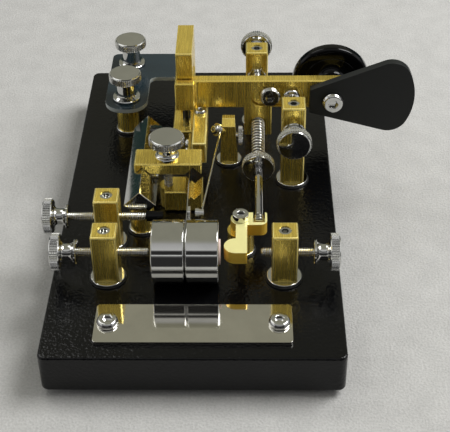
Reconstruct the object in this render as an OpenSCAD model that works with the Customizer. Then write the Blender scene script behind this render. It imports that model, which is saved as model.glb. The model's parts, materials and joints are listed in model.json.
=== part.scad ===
// Semi-automatic telegraph key on a slab base.
// X runs along the finger lever towards the operator, Y from the weights to the terminals, Z up.
// The origin is the centre of the underside of the rubber mat that the slab stands on.

/* [Base] */
// Width of the base slab along X
base_w = 92; // [86:1:102]
// Depth of the base slab along Y
base_d = 161.4; // [159:0.2:180]
// Thickness of the base slab
base_t = 13.7; // [11:0.1:18]
// Radius of the slab's upright corners
base_corner_r = 2.5; // [2:0.5:6]
// Radius of the slab's top and bottom edges
base_edge_r = 0.8; // [0.4:0.1:1.8]
// Thickness of the rubber mat under the slab
mat_t = 2.5; // [1.5:0.1:5]
// Distance of the mat's edge from the slab's sides
mat_inset = 6; // [4:0.5:10]

/* [Nameplate] */
// Length of the bare nameplate
plate_w = 60; // [54:1:66]
// Depth of the nameplate
plate_d = 16.5; // [14:0.5:18]
// Thickness of the nameplate
plate_t = 1.2; // [0.8:0.1:2]
// Distance of the nameplate from the near edge of the base
plate_inset = 5.7; // [4:0.1:7]
// Distance of the nameplate's screws from its ends
plate_screw_inset = 4; // [3.8:0.1:6]

/* [Posts] */
// Side of the square brass posts
post_w = 8; // [7.5:0.1:9]
// Height of the low posts above the base
low_post_h = 19.3; // [17:0.1:20]
// Height of the lever's stop posts above the base
stop_post_h = 32; // [30.5:0.5:36]
// Chamfer on the edges of brass blocks
edge_c = 0.35; // [0.2:0.05:0.6]
// Diameter of the washers under the square posts
washer_d = 11.2; // [10:0.1:13]
// Diameter of the washers under the round posts
small_washer_d = 9.2; // [9:0.1:11]
// Thickness of the washers
washer_t = 0.8; // [0.5:0.1:1.2]
// Thickness of the insulating rings under the washers
ring_t = 0.4; // [0.3:0.1:1]
// Distance of the two near posts from the middle of the base
near_post_x = 28; // [27:0.5:32]
// Distance of the weights' axis from the near edge of the base
near_row = 36.1; // [35:0.1:37]
// Distance of the left far post from the near posts' row
far_row_gap = 17.9; // [16.5:0.1:18]
// Distance of the left far post from the middle of the base
far_post_x = 29; // [28:0.5:32]

/* [Thumb screws] */
// Diameter of the screw threads
thread_d = 3; // [2.5:0.1:3.2]
// Diameter of the knurled rims
rim_d = 11.8; // [10:0.2:13]
// Thickness of the knurled rims
rim_t = 3.1; // [2:0.1:3.5]
// Length of a thumb screw's head, rim and neck together
head_h = 8.2; // [7:0.1:9]
// Diameter of the collar at the foot of the neck
collar_d = 8; // [7:0.1:9]
// Thickness of the collar
collar_t = 0.9; // [0.6:0.1:1.4]
// Diameter of the slimmest part of the neck
neck_d = 5.4; // [4.5:0.1:6.5]
// Bare thread between a low post and its screw's collar
bare_thread = 5; // [3:0.1:5.5]
// Bare thread of the left far screw
far_bare_thread = 8.7; // [7:0.1:9]
// Height of the low screws' axis above the base
low_axis_h = 10.6; // [10.5:0.1:11.4]
// Gap between the left near screw and the left weight
weight_stop_gap = 1.2; // [1.2:0.1:2]
// Distance of the right near screw's tip from its post
right_tip_reach = 3.4; // [2:0.1:4]
// Distance of the left far screw's thread end from its post
far_tip_reach = 8.6; // [8:0.1:9.4]
// Length of the black tip on the left far screw
tip_len = 5.4; // [3:0.1:6]
// Diameter of the black tip on the left far screw
tip_d = 3.6; // [3.2:0.1:3.8]

/* [Pivot and lever] */
// Distance of the lever's pivot from the middle of the base
pivot_x = 5.7; // [5.2:0.1:6.2]
// Distance of the lever's pivot from the near edge of the base
pivot_row = 110.7; // [109.7:0.1:112]
// Diameter of the pivot pin
pin_d = 2.9; // [2.5:0.1:3.2]
// Height of the lever's underside above the base
lever_z = 19.2; // [18.8:0.1:20]
// Height of the lever bar
lever_h = 11; // [10:0.1:12]
// Thickness of the lever bar
lever_t = 4; // [3.4:0.1:4.4]
// Distance of the lever bar's face in front of the pivot
lever_front = 5.5; // [5.2:0.1:6]
// Width of the lever's pivot block
block_w = 6.8; // [6:0.1:8]
// Distance of the pivot block's face in front of the pivot
block_front = 7.5; // [7.2:0.1:8]
// Distance of the pivot block's back behind the pivot
block_back = 5; // [4:0.1:6]
// Radius of the fillet between block and bar
block_fillet = 1.6; // [1:0.1:2]
// Length of the lever bar from the pivot
lever_len = 57; // [56:0.5:60]
// Width of the tab that hangs under the lever
tab_w = 9.8; // [9:0.1:11]
// Drop of the tab below the lever
tab_drop = 11.8; // [11:0.1:13]
// Diameter of the spring's seat in the tab
tab_hole_d = 5.6; // [5.4:0.1:6]
// Depth of the spring's seat in the tab
spring_seat = 2.4; // [1:0.1:3]
// Width of the pivot frame's upright and arm
frame_w = 5.7; // [5.4:0.1:7]
// Width of the pivot frame's foot
frame_foot_w = 10; // [9:0.1:11]
// Height of the pivot frame's foot
frame_foot_h = 8.5; // [7.5:0.1:9]
// Depth of the pivot frame from front to back
frame_d = 21; // [19:0.5:22.5]
// Thickness of the pivot frame's upright
frame_back_t = 8; // [6:0.1:8.5]
// Height of the pivot frame's arm
frame_arm_h = 10; // [8:0.1:12]
// Distance of the frame's face in front of the pivot
frame_front = 4.6; // [4:0.1:5]
// Distance between the two screws under the pivot frame
frame_screw_pitch = 7; // [6.6:0.1:7.4]
// Gap between the top of the lever and the frame's arm
arm_gap = 0.3; // [0.3:0.05:0.6]
// Depth of the pivot pin in the frame's foot
pin_in_foot = 5.6; // [4:0.1:6]
// Depth of the pivot pin in the frame's arm
pin_in_arm = 3.4; // [2:0.1:5]

/* [Paddle and knob] */
// Distance of the paddle's screw from the lever's end
paddle_screw_in = 5; // [4:0.1:6]
// Length of the lever that the paddle covers
paddle_lap = 13.1; // [12:0.1:14]
// Height of the paddle's narrow end
paddle_end_h = 9.8; // [8:0.1:11]
// Half height of the paddle's broad end
paddle_r = 13.8; // [12.5:0.1:14.8]
// Radius of the broad end's corners
paddle_end_r = 7; // [6:0.1:9]
// Radius of the broad end's outer edge
paddle_edge_r = 22.3; // [20:0.1:26]
// Rise of the paddle's broad end above the middle of the lever
paddle_rise = 0.4; // [0:0.1:0.6]
// Radius of the paddle's small corners
paddle_corner = 1; // [0.6:0.1:1.4]
// Reach of the paddle beyond the lever's end
paddle_out = 23.5; // [22:0.1:25]
// Drop of the paddle's narrow end and its screw below the middle of the lever
paddle_drop = 1.1; // [0.6:0.1:2]
// Thickness of the paddle
paddle_t = 3; // [2.4:0.1:4]
// Diameter of the finger knob
knob_d = 27.4; // [24:0.2:29]
// Length of the finger knob
knob_len = 10.2; // [9:0.1:13]
// Thickness of the finger knob's rim
knob_rim_t = 4.6; // [4:0.1:6]
// Diameter of the finger knob's neck
knob_neck_d = 10; // [8:0.2:13]
// Diameter of the larger button screws' heads
big_head_d = 7.7; // [7:0.1:8]
// Height of the larger button screws' heads
big_head_h = 2.2; // [1.8:0.1:2.6]
// Diameter of the larger button screws' threads
big_thread_d = 4; // [3.4:0.1:4.4]

/* [Stops and dash contact] */
// Distance of the near stop post from the middle of the base
near_stop_x = 32; // [31:0.1:33]
// Distance of the near stop post from the near edge of the base
near_stop_row = 88.4; // [87:0.1:89.4]
// Distance of the far stop post from the middle of the base
far_stop_x = 19.8; // [18.6:0.1:21]
// Distance of the far stop post from the near edge of the base
far_stop_row = 125.4; // [124:0.1:127]
// Drop of the stop screws' axis below the middle of the lever
axis_drop = 0.8; // [0.5:0.1:1]
// Bare thread between the near stop post and its screw's collar
near_stop_bare = 1.7; // [0.6:0.1:3]
// Bare thread between the far stop post and its screw's collar
far_stop_bare = 4.6; // [0.6:0.1:6]
// Gap between the near stop screw and the dash contact
dash_gap = 0.35; // [0.3:0.05:0.6]
// Gap between the far stop screw and the lever
stop_gap = 0.4; // [0.4:0.05:0.8]
// Length of the rounded recess in the lever's face
recess_len = 18.7; // [18.4:0.1:20]
// Height of the rounded recess
recess_h = 8.1; // [8:0.1:8.6]
// Depth of the rounded recess
recess_depth = 1.4; // [1.2:0.1:1.8]
// Thickness of the dash contact's plate in the recess
dash_plate_t = 0.6; // [0.4:0.1:1]
// Distance of the recess's middle from the pivot
recess_x = 32.6; // [32.2:0.1:33]
// Distance of the dash contact's screw from the pivot
dash_screw_x = 30; // [29.4:0.1:30.4]
// Diameter of the dash contact button
dash_button_d = 5.9; // [5:0.1:6]
// Thickness of the dash contact button
dash_button_t = 2.2; // [1.6:0.1:2.6]
// Diameter of the far stop's lock nut
lock_nut_d = 6.4; // [6:0.1:7]
// Thickness of the far stop's lock nut
lock_nut_t = 2.2; // [1.8:0.1:2.6]

/* [Pendulum] */
// Distance of the pendulum strip from the middle of the base
strip_x = 2.9; // [2.8:0.1:3.2]
// Thickness of the pendulum strip
strip_t = 0.3; // [0.25:0.05:0.35]
// Play of the strip between the pendulum arm and its clamp plate
strip_play = 0.07; // [0.06:0.01:0.1]
// Height of the strip's lower edge above the base
strip_z = 8; // [7.6:0.1:8.4]
// Height of the strip
strip_h = 8.5; // [8:0.1:8.8]
// Distance of the strip's near end from the weights' axis
strip_lap = 6; // [4:0.1:8]
// Width of the pendulum arm
arm_w = 5; // [4.5:0.1:5.2]
// Height of the pendulum arm
arm_h = 8.2; // [7.5:0.1:8.6]
// Distance of the pendulum arm's free end from the pivot
arm_reach = 28; // [27.4:0.1:28.6]
// Length of the strip held on the pendulum arm
strip_hold = 11; // [10:0.1:13]
// Thickness of the plate that clamps the strip
clamp_t = 0.9; // [0.7:0.1:1.1]
// Diameter of the weights
weight_d = 20.4; // [18:0.1:20.6]
// Thickness of each weight
weight_t = 10.3; // [9:0.1:10.6]
// Chamfer on the weights' edges
weight_c = 0.5; // [0.3:0.1:1]
// Diameter of the pad on the right weight
pad_d = 8; // [6:0.1:9]
// Thickness of the pad
pad_t = 0.4; // [0.4:0.1:0.8]
// Distance of the dot contact from the weights' axis
dot_contact_y = 11.9; // [11.7:0.1:13]
// Height of the dot contact above the base
dot_contact_h = 16.8; // [16:0.1:19]
// Gap of the dot contact at rest
dot_gap = 1.4; // [1.4:0.1:2]

/* [Rail and carriage] */
// Distance of the rail from the middle of the base
rail_x = 18.7; // [18.4:0.1:19]
// Half width of the diamond rail, and its height above its corners
rail_half = 5.3; // [5:0.1:5.4]
// Height of the rail's side corners above the base
rail_h = 13.1; // [13:0.1:13.4]
// Depth of the rail's flat underside below its corners
rail_under = 2.1; // [1.8:0.1:2.1]
// Length of the rail
rail_len = 45.4; // [44:0.1:47]
// Distance of the rail's near end from the left far screw
rail_gap = 2.3; // [2.2:0.1:2.6]
// Diameter of the rail's round posts
rail_post_d = 8; // [7:0.1:9]
// Distance of the rail's posts from its ends
rail_post_inset = 4.8; // [4.6:0.1:6]
// Distance of the carriage's face from the rail's near end
carriage_start = 13.4; // [13:0.1:13.6]
// Depth of the carriage along the rail
carriage_d = 9.2; // [8:0.1:9.4]
// Length of the carriage bar across the rail
bar_len = 22.4; // [22:0.1:22.6]
// Overhang of the carriage bar to the left of the rail's ridge
bar_over = 2.6; // [2.4:0.1:3]
// Thickness of the carriage bar
bar_t = 4.2; // [4:0.1:5]
// Depth of the carriage bar's notches
notch_depth = 3; // [2.6:0.1:3]
// Gap between the rail's ridge and the notch
notch_gap = 0.3; // [0.25:0.05:0.5]
// Distance of the right notch from the middle of the base
strip_notch_x = 1.7; // [1.6:0.1:2.2]
// Width of the carriage's lower block
carriage_block_w = 12.9; // [12:0.1:13]
// Height of the lower block's top above the base
carriage_block_h = 8.4; // [7.8:0.1:8.6]
// Gap between the lower block and the base
carriage_block_gap = 0.4; // [0.3:0.1:0.8]
// Distance of the carriage's thumb screw from the middle of the base
carriage_screw_x = 10.4; // [10:0.1:10.6]

/* [Damper] */
// Distance of the crank's pivot from the middle of the base
crank_x = 14.2; // [14:0.1:14.6]
// Distance of the crank's pivot behind the weights' axis
crank_gap = 13.5; // [13.2:0.1:14]
// Height of the crank's underside above the base
crank_z = 8.7; // [8.5:0.1:8.8]
// Thickness of the crank
crank_t = 4.4; // [4.2:0.1:4.8]
// Width of the crank's long limb
limb_w = 3.6; // [3.2:0.1:4.2]
// Width of the crank's toe
toe_w = 7.2; // [6:0.1:8]
// Radius of the crank's eye
eye_r = 3.2; // [3:0.1:3.6]
// Wall of the crank beside the push rod's slot
crank_wall = 0.7; // [0.6:0.1:1.2]
// Radius of the crank's small corners
crank_corner = 0.6; // [0.4:0.1:1]
// Radius of the front corner of the damper crank's arm
crank_bend = 2.2; // [1.6:0.1:2.6]
// Gap between the crank's toe and the pad on the weight
toe_gap = 1.1; // [1.1:0.1:2]
// Diameter of the crank's post
crank_post_d = 8.6; // [8:0.1:9.2]
// Distance of the push rod from the middle of the base
rod_x = 20.1; // [19.8:0.1:20.6]
// Height of the push rod above the base
rod_h = 12.5; // [12.3:0.1:12.7]
// Diameter of the push rod
rod_d = 2.8; // [2.4:0.1:3]
// Play round the push rod's end in the crank
rod_play = 0.4; // [0.35:0.05:0.5]
// Height of the rings round the push rod's end
rod_lip = 0.1; // [0.05:0.05:0.2]
// Length of the push rod behind the lever
rod_past = 1.6; // [1:0.1:3]
// Diameter of the knurled spring nut
spring_nut_d = 11.2; // [9:0.1:12]
// Thickness of the knurled spring nut
spring_nut_t = 3.1; // [2.5:0.1:4]
// Length of the coil spring
spring_len = 26.8; // [24:0.1:30]
// Outer diameter of the coil spring
spring_d = 4.8; // [4.6:0.1:5]
// Diameter of the spring wire
wire_d = 0.7; // [0.5:0.05:0.8]
// Curls of the coil spring
spring_turns = 15; // [12:1:18]
// Gap between the spring and the floor of its seat in the lever's tab
spring_gap = 0.3; // [0.3:0.05:0.4]

/* [Dot contact post] */
// Distance of the dot contact post from the middle of the base
dot_post_x = 9.7; // [9.4:0.1:10.5]
// Distance of the dot contact post from the near edge of the base
dot_post_row = 100.2; // [98.8:0.1:100.8]
// Height of the dot contact post above the base
dot_post_h = 18; // [17:0.1:18.4]
// Width across the dot contact post's foot
dot_foot_w = 6.4; // [5.8:0.1:6.5]
// Width across the dot contact post's head
dot_head_w = 4.4; // [4:0.1:4.8]
// Height of the slanted facet on the dot contact post's front
dot_facet_h = 2; // [1.4:0.1:2.6]
// Depth of the slanted facet
dot_facet_d = 2.2; // [1:0.1:2.6]
// Height of the dot contact screw above the base
dot_screw_h = 10.6; // [10:0.1:10.8]
// Height at which the wire's slanted screw starts in the dot contact post
wire_screw_h = 12.4; // [12.2:0.1:12.6]
// Distance of the wire's eye from the middle of the dot contact post, along its screw
wire_screw_reach = 5; // [4.8:0.1:5.2]
// Lean of the wire's screw away from upright
wire_screw_lean = 62; // [58:1:66]
// Direction of the wire's screw seen from above
wire_screw_turn = 214; // [210:1:218]
// Diameter of the dot contact wire
dot_wire_d = 0.7; // [0.5:0.05:0.9]

/* [Terminals] */
// Distance of the terminals from the middle of the base
terminal_x = 28.3; // [27.5:0.1:29]
// Distance of the near terminal from the near edge of the base
terminal_row = 120.7; // [119.6:0.1:122]
// Distance between the two terminals
terminal_pitch = 24.5; // [22:0.1:26]
// Height of the terminal plate's top above the base
terminal_plate_h = 13.6; // [12:0.1:15]
// Thickness of the terminal plate
terminal_plate_t = 1.6; // [1.4:0.1:3]
// Width of the terminal plate's leg
leg_w = 15.6; // [14:0.1:17]
// Reach of the plate in front of the near terminal
leg_front = 8; // [7.6:0.1:9]
// Reach of the plate behind the far terminal
leg_back = 7.6; // [7:0.1:9]
// Depth of the plate's cross piece
cross_d = 17.6; // [16:0.1:19]
// Reach of the plate's cross piece beyond the leg
cross_len = 11; // [9:0.1:11.4]
// Diameter of the brass standoffs
standoff_d = 8; // [7:0.1:9]
// Length of a terminal nut
terminal_nut_h = 10.8; // [9:0.1:12]
// Diameter of a terminal nut's foot
terminal_foot_d = 10.2; // [9:0.1:11]
// Diameter of a terminal nut's waist
terminal_waist_d = 6.8; // [5.4:0.1:8]

/* [Small parts] */
// Diameter of the set screws in the posts
set_screw_d = 4; // [3.4:0.1:4.4]
// Depth of the set screws below the posts' tops
set_screw_sink = 0.3; // [0.1:0.1:0.6]
// Diameter of the small button screws' heads
small_head_d = 6.6; // [5:0.1:7]
// Height of the small button screws' heads
small_head_h = 1.9; // [1.2:0.1:2.2]
// Length of the nameplate's screws in the base
plate_screw_len = 6; // [4:0.5:8]
// Diameter of the heads of the screws under the base
under_head_d = 5.5; // [5:0.1:6]
// Height of the heads of the screws under the base
under_head_h = 3; // [2:0.1:3.4]
// Depth that the heads of the screws under the base are sunk
under_sink = 4; // [3.6:0.1:5]
// Grip of the screws under the base in the posts
under_grip = 3; // [2.4:0.1:3.2]
// Width across the dot contact block on the strip
dot_block_w = 1.2; // [1:0.1:2]
// Depth of the dot contact block
dot_block_d = 3; // [2.4:0.1:3.2]
// Height of the dot contact block
dot_block_h = 6.8; // [6:0.1:7]
// Diameter of the contact bead on the wire
dot_bead_d = 3; // [2.6:0.1:3.2]
// Length of the contact bead on the wire
dot_bead_len = 1.2; // [1:0.1:1.8]
// Length of the ferrule behind the contact bead
ferrule_len = 1.5; // [1.2:0.1:1.8]
// Diameter of the ferrule behind the contact bead
ferrule_d = 2.4; // [2:0.1:2.6]
// Diameter of the dot contact screw
dot_screw_d = 2.5; // [2:0.1:2.8]
// Diameter of the dot contact screw's knurled head
dot_knob_d = 7; // [6:0.1:7.4]
// Thickness of the dot contact screw's knurled head
dot_knob_t = 1.8; // [1.4:0.1:2]
// Diameter of the wire's eye
wire_eye_d = 4.6; // [4.2:0.1:5]
// Thickness of the wire's eye
wire_eye_t = 0.8; // [0.6:0.1:1]
// Diameter of the wire screw's head
wire_head_d = 3.4; // [3.2:0.1:3.5]
// Height of the wire screw's head
wire_head_h = 1.6; // [1.2:0.1:1.8]
// Diameter of the wire screw's thread
wire_screw_d = 2; // [1.6:0.1:2.2]
// Grip of the wire's screw, from its eye into the post
wire_grip = 3.8; // [3.4:0.1:4]
// Diameter of the boss under the wire's eye
wire_boss_d = 3.2; // [3:0.1:3.6]
// Diameter of the screws that clamp the strip
clamp_screw_d = 2; // [1.6:0.1:2.2]
// Diameter of the heads of the clamp screws
clamp_head_d = 3.4; // [3:0.1:3.6]
// Height of the heads of the clamp screws
clamp_head_h = 1.2; // [0.9:0.1:1.3]
// Diameter of the head of the pendulum arm's screw
arm_head_d = 4.2; // [3.6:0.1:4.4]
// Height of the head of the pendulum arm's screw
arm_head_h = 1.4; // [1:0.1:1.6]
// Distance of the pendulum arm's screw in front of the lever
arm_screw_gap = 2.9; // [2.8:0.1:5]
// Diameter of the crank screw's head
crank_head_d = 5.2; // [4.6:0.1:5.8]
// Height of the crank screw's head
crank_head_h = 2.1; // [1.6:0.1:2.6]
// Radius of the boss round the carriage's stud
stud_boss_r = 3.1; // [2.8:0.1:3.2]
// Radius of the terminal plate's near corners
leg_r = 6.8; // [4:0.1:7]
// Radius of the terminal plate's other corners
cross_r = 2.5; // [1:0.1:4]

/* [Hidden] */
$fn = 64;

// Clearances: radial play of screws and shafts, play between faces that turn, overlap of a cut
fit = 0.05;
turn_gap = 0.1;
cut = 0.2;

// Shares: heads of button screws, their sockets, thumb screw heads, rings of the push rod, knob, crank
head_wall = 0.5;
head_bevel = 0.3;
head_socket = 0.42;
set_socket = 0.6;
rim_bevel = 0.12;
neck_slope = 0.125;
ring_step = 0.45;
ring_len = 0.3;
knob_foot = 0.6;
knob_flare = 0.7;
knob_soft = 0.28;
limb_share = 0.58;
clamp_shares = [0.27, 0.73];

// Colours
BRASS = "#c9a63f";
CHROME = "#c9cdd1";
BLACK = "#17181a";

// Levels and rows
top = mat_t + base_t;
seat = ring_t + washer_t;
near = -base_d / 2;
near_y = near + near_row;
far_y = near_y + far_row_gap;
pivot_y = near + pivot_row;
lever_y = pivot_y - lever_front;
lever_back = lever_y + lever_t;
lever_mid = lever_z + lever_h / 2;
lever_top = lever_z + lever_h;
stop_axis_h = lever_mid - axis_drop;
paddle_axis_h = lever_mid - paddle_drop;
paddle_screw_x = lever_len - paddle_screw_in;
paddle_start = lever_len - paddle_lap;
paddle_reach = lever_len + paddle_out;
near_stop_y = near + near_stop_row;
far_stop_y = near + far_stop_row;
crank_y = near_y + crank_gap;
dot_post_y = near + dot_post_row;
terminal_y = near + terminal_row;
rail_y = far_y + rail_gap;
carriage_y = rail_y + carriage_start;
thread_r = thread_d / 2;
bore_r = thread_r + fit;

// Weights, strip and dot contact along X
strip_left = -strip_x - strip_t / 2;
strip_right = -strip_x + strip_t / 2;
arm_left = strip_right + strip_play;
clamp_right = strip_left - strip_play;
pad_face = strip_right + weight_t + pad_t;
dot_y = near_y + dot_contact_y;
dot_face = strip_right + dot_block_w;
bead_face = dot_face + dot_gap;

// Places of the posts on the base, with the level of their foot
square_posts = [
    [-near_post_x, near_y], [near_post_x, near_y], [-far_post_x, far_y],
    [near_stop_x, near_stop_y], [far_stop_x, far_stop_y]
];
rail_rows = [rail_y + rail_post_inset, rail_y + rail_len - rail_post_inset];
terminal_rows = [terminal_y, terminal_y + terminal_pitch];
round_posts = [
    [crank_x, crank_y], [dot_post_x, dot_post_y],
    for (y = rail_rows) [-rail_x, y],
    for (y = terminal_rows) [-terminal_x, y]
];
frame_y = pivot_y - frame_front;
frame_back = frame_y + frame_d;
frame_screws = [
    for (y = [frame_back - frame_screw_pitch, frame_back]) [-pivot_x, y - under_head_d / 2]
];

// Raises children from the mat's underside to a height above the slab's top
module above(h = 0) {
    translate([0, 0, top + h]) children();
}

// Rods along X and Y that start at the origin
module rod_along_x(r, len) {
    rotate([0, 90, 0]) cylinder(r = r, h = len);
}

module rod_along_y(r, len) {
    rotate([-90, 0, 0]) cylinder(r = r, h = len);
}

// Rectangle with chamfered corners, and one with round corners, both centred
module cut_rect(w, d, c) {
    polygon([
        [c - w / 2, -d / 2], [w / 2 - c, -d / 2], [w / 2, c - d / 2], [w / 2, d / 2 - c],
        [w / 2 - c, d / 2], [c - w / 2, d / 2], [-w / 2, d / 2 - c], [-w / 2, c - d / 2]
    ]);
}

module soft_rect(w, d, r) {
    square([w - 2 * r, d], center = true);
    square([w, d - 2 * r], center = true);
    for (x = [-1, 1], y = [-1, 1])
        translate([x * (w / 2 - r), y * (d / 2 - r)]) circle(r);
}

// Block with chamfered edges that starts at the origin
module block(size, c = edge_c) {
    translate(size / 2) intersection() {
        linear_extrude(size.z, center = true) cut_rect(size.x, size.y, c);
        rotate([90, 0, 0]) linear_extrude(size.y, center = true) cut_rect(size.x, size.z, c);
        rotate([90, 0, 90]) linear_extrude(size.x, center = true) cut_rect(size.y, size.z, c);
    }
}

// Thumb screw along Z: the collar's foot is at the origin, the head above and the thread below
module thumb_screw(len, h = head_h, foot_d = collar_d, waist_d = neck_d) {
    rim_c = rim_bevel * rim_t;
    slope = (rim_d - waist_d) * neck_slope;
    rotate_extrude() polygon([
        [0, -len], [thread_r - fit * 4, -len], [thread_r, fit * 4 - len], [thread_r, 0],
        [foot_d / 2, 0], [foot_d / 2, collar_t], [waist_d / 2, collar_t + slope],
        [waist_d / 2, h - rim_t - slope], [rim_d / 2 - rim_c, h - rim_t],
        [rim_d / 2, h - rim_t + rim_c], [rim_d / 2, h - rim_c], [rim_d / 2 - rim_c, h], [0, h]
    ]);
}

// Button screw along Z: the head's foot is at the origin, with a hexagon socket in its flat top
module button_screw(head_d, head_h, shank_d, len) {
    difference() {
        rotate_extrude() polygon([
            [0, -len], [shank_d / 2, -len], [shank_d / 2, 0], [head_d / 2, 0],
            [head_d / 2, head_h * head_wall], [head_d / 2 - head_h * head_bevel, head_h], [0, head_h]
        ]);
        translate([0, 0, head_h * head_socket]) cylinder(d = head_d * head_socket, h = head_h, $fn = 6);
    }
}

// Slab with round corners and round edges, its foot on the origin's plane
module rounded_slab(w, d, h, corner, edge) {
    translate([0, 0, h / 2]) {
        rotate([90, 0, 90]) linear_extrude(w - 2 * corner, center = true) soft_rect(d, h, edge);
        rotate([90, 0, 0]) linear_extrude(d - 2 * corner, center = true) soft_rect(w, h, edge);
        for (x = [-1, 1], y = [-1, 1])
            translate([x * (w / 2 - corner), y * (d / 2 - corner), 0])
                rotate_extrude() intersection() {
                    soft_rect(2 * corner, h, edge);
                    translate([0, -h]) square([corner, 2 * h]);
                }
    }
}

// Hole that takes a screw from under a post
module under_hole() {
    translate([0, 0, seat - cut]) cylinder(r = bore_r, h = under_grip + fit + cut);
}

// Square post with a cross bore for its adjusting screw and a set screw hole from its top
module square_post(h, axis_h, turn) {
    above() difference() {
        translate([-post_w / 2, -post_w / 2, seat]) block([post_w, post_w, h - seat]);
        translate([0, 0, axis_h]) rotate([0, 90, turn])
            cylinder(r = bore_r, h = post_w + cut, center = true);
        translate([0, 0, axis_h]) cylinder(d = set_screw_d + 2 * fit, h = h - axis_h + cut);
        under_hole();
    }
}

// Round post, wider at its foot where two diameters are given
module round_post(d1, d2, h) {
    difference() {
        translate([0, 0, seat]) cylinder(d1 = d1, d2 = d2, h = h - seat);
        under_hole();
    }
}

// Thin round plates under the posts
module post_plates(from, thick, wider) {
    above(from) {
        for (p = square_posts) translate(p) difference() {
            cylinder(d = washer_d + wider, h = thick);
            translate([0, 0, -cut]) cylinder(r = bore_r, h = thick + 2 * cut);
        }
        for (p = round_posts) translate(p) difference() {
            cylinder(d = small_washer_d + wider, h = thick);
            translate([0, 0, -cut]) cylinder(r = bore_r, h = thick + 2 * cut);
        }
    }
}

module base() {
    plate_y = near + plate_inset + plate_d / 2;
    plate_x = plate_w / 2 - plate_screw_inset;
    color(BLACK) translate([0, 0, mat_t]) difference() {
        rounded_slab(base_w, base_d, base_t, base_corner_r, base_edge_r);
        for (p = concat(square_posts, round_posts, frame_screws)) translate(p) {
            translate([0, 0, -cut]) cylinder(r = bore_r, h = base_t + 2 * cut);
            translate([0, 0, -cut]) cylinder(d = under_head_d + 4 * fit, h = under_sink + cut);
        }
        for (x = [-plate_x, plate_x]) translate([x, plate_y, base_t - plate_screw_len])
            cylinder(r = bore_r, h = plate_screw_len + cut);
    }
}

module rubber_mat() {
    color("#222222") linear_extrude(mat_t)
        soft_rect(base_w - 2 * mat_inset, base_d - 2 * mat_inset, base_corner_r);
}

module nameplate() {
    plate_x = plate_w / 2 - plate_screw_inset;
    color(CHROME) translate([0, near + plate_inset + plate_d / 2, 0]) above() difference() {
        linear_extrude(plate_t) soft_rect(plate_w, plate_d, plate_t);
        for (x = [-plate_x, plate_x]) translate([x, 0, -cut])
            cylinder(r = bore_r, h = plate_t + 2 * cut);
    }
}

module nameplate_screws() {
    plate_x = plate_w / 2 - plate_screw_inset;
    color(CHROME) for (x = [-plate_x, plate_x])
        translate([x, near + plate_inset + plate_d / 2, 0]) above(plate_t)
            button_screw(small_head_d, small_head_h, thread_d, plate_t + plate_screw_len - cut);
}

module insulating_rings() {
    color("#262626") post_plates(0, ring_t, 2 * ring_t);
}

module post_washers() {
    color(CHROME) post_plates(ring_t, washer_t, 0);
}

module under_screw(rise) {
    translate([0, 0, mat_t + under_sink]) {
        cylinder(r = thread_r, h = base_t - under_sink + rise + under_grip);
        translate([0, 0, -under_head_h]) difference() {
            cylinder(d = under_head_d, h = under_head_h);
            translate([0, 0, -cut]) cylinder(d = under_head_d / 2, h = under_head_h / 2, $fn = 6);
        }
    }
}

module post_screws() {
    color("#8d9196") {
        for (p = concat(square_posts, round_posts)) translate(p) under_screw(seat);
        for (p = frame_screws) translate(p) under_screw(0);
    }
}

module left_near_post() {
    color(BRASS) translate([-near_post_x, near_y, 0]) square_post(low_post_h, low_axis_h, 0);
}

module right_near_post() {
    color(BRASS) translate([near_post_x, near_y, 0]) square_post(low_post_h, low_axis_h, 0);
}

module left_far_post() {
    color(BRASS) translate([-far_post_x, far_y, 0]) square_post(low_post_h, low_axis_h, 0);
}

module near_stop_post() {
    color(BRASS) translate([near_stop_x, near_stop_y, 0]) square_post(stop_post_h, stop_axis_h, 90);
}

module far_stop_post() {
    color(BRASS) translate([far_stop_x, far_stop_y, 0]) square_post(stop_post_h, stop_axis_h, 90);
}

// The dot contact's post is square and tapers, with a slanted facet at the top of its front
module taper_post(foot, head, h) {
    side = [[-foot / 2, seat], [foot / 2, seat], [head / 2, h], [-head / 2, h]];
    intersection() {
        rotate([90, 0, 0]) linear_extrude(foot, center = true) polygon(side);
        rotate([90, 0, 90]) linear_extrude(foot, center = true) polygon(side);
    }
}

module dot_facet() {
    front = -dot_foot_w / 2;
    back = dot_facet_d - dot_head_w / 2;
    slope = dot_facet_h / dot_facet_d;
    rotate([90, 0, 90]) linear_extrude(dot_foot_w, center = true) polygon([
        [front, dot_post_h - slope * (back - front)], [back, dot_post_h],
        [back, dot_post_h + cut], [front, dot_post_h + cut]
    ]);
}

// Places children on the wire's slanted screw, at a distance from the middle of the post
module on_wire_screw(reach) {
    translate([0, 0, wire_screw_h]) rotate([0, wire_screw_lean, wire_screw_turn])
        translate([0, 0, reach]) children();
}

module dot_contact_post() {
    color(BRASS) translate([dot_post_x, dot_post_y, 0]) above() difference() {
        union() {
            taper_post(dot_foot_w, dot_head_w, dot_post_h);
            on_wire_screw(0) cylinder(d = wire_boss_d, h = wire_screw_reach);
        }
        under_hole();
        dot_facet();
        translate([-fit, 0, dot_screw_h]) rod_along_x(dot_screw_d / 2 + fit, dot_foot_w);
        on_wire_screw(wire_screw_reach - wire_grip - fit)
            cylinder(d = wire_screw_d + 2 * fit, h = wire_grip + 2 * fit);
    }
}

module rail_posts() {
    color(BRASS) for (y = rail_rows) translate([-rail_x, y, 0]) above()
        round_post(rail_post_d, rail_post_d, rail_h - rail_under);
}

module crank_post() {
    color(BRASS) translate([crank_x, crank_y, 0]) above() difference() {
        round_post(crank_post_d, crank_post_d, crank_z - turn_gap);
        translate([0, 0, seat + under_grip + 3 * cut]) cylinder(r = bore_r, h = crank_z);
    }
}

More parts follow.
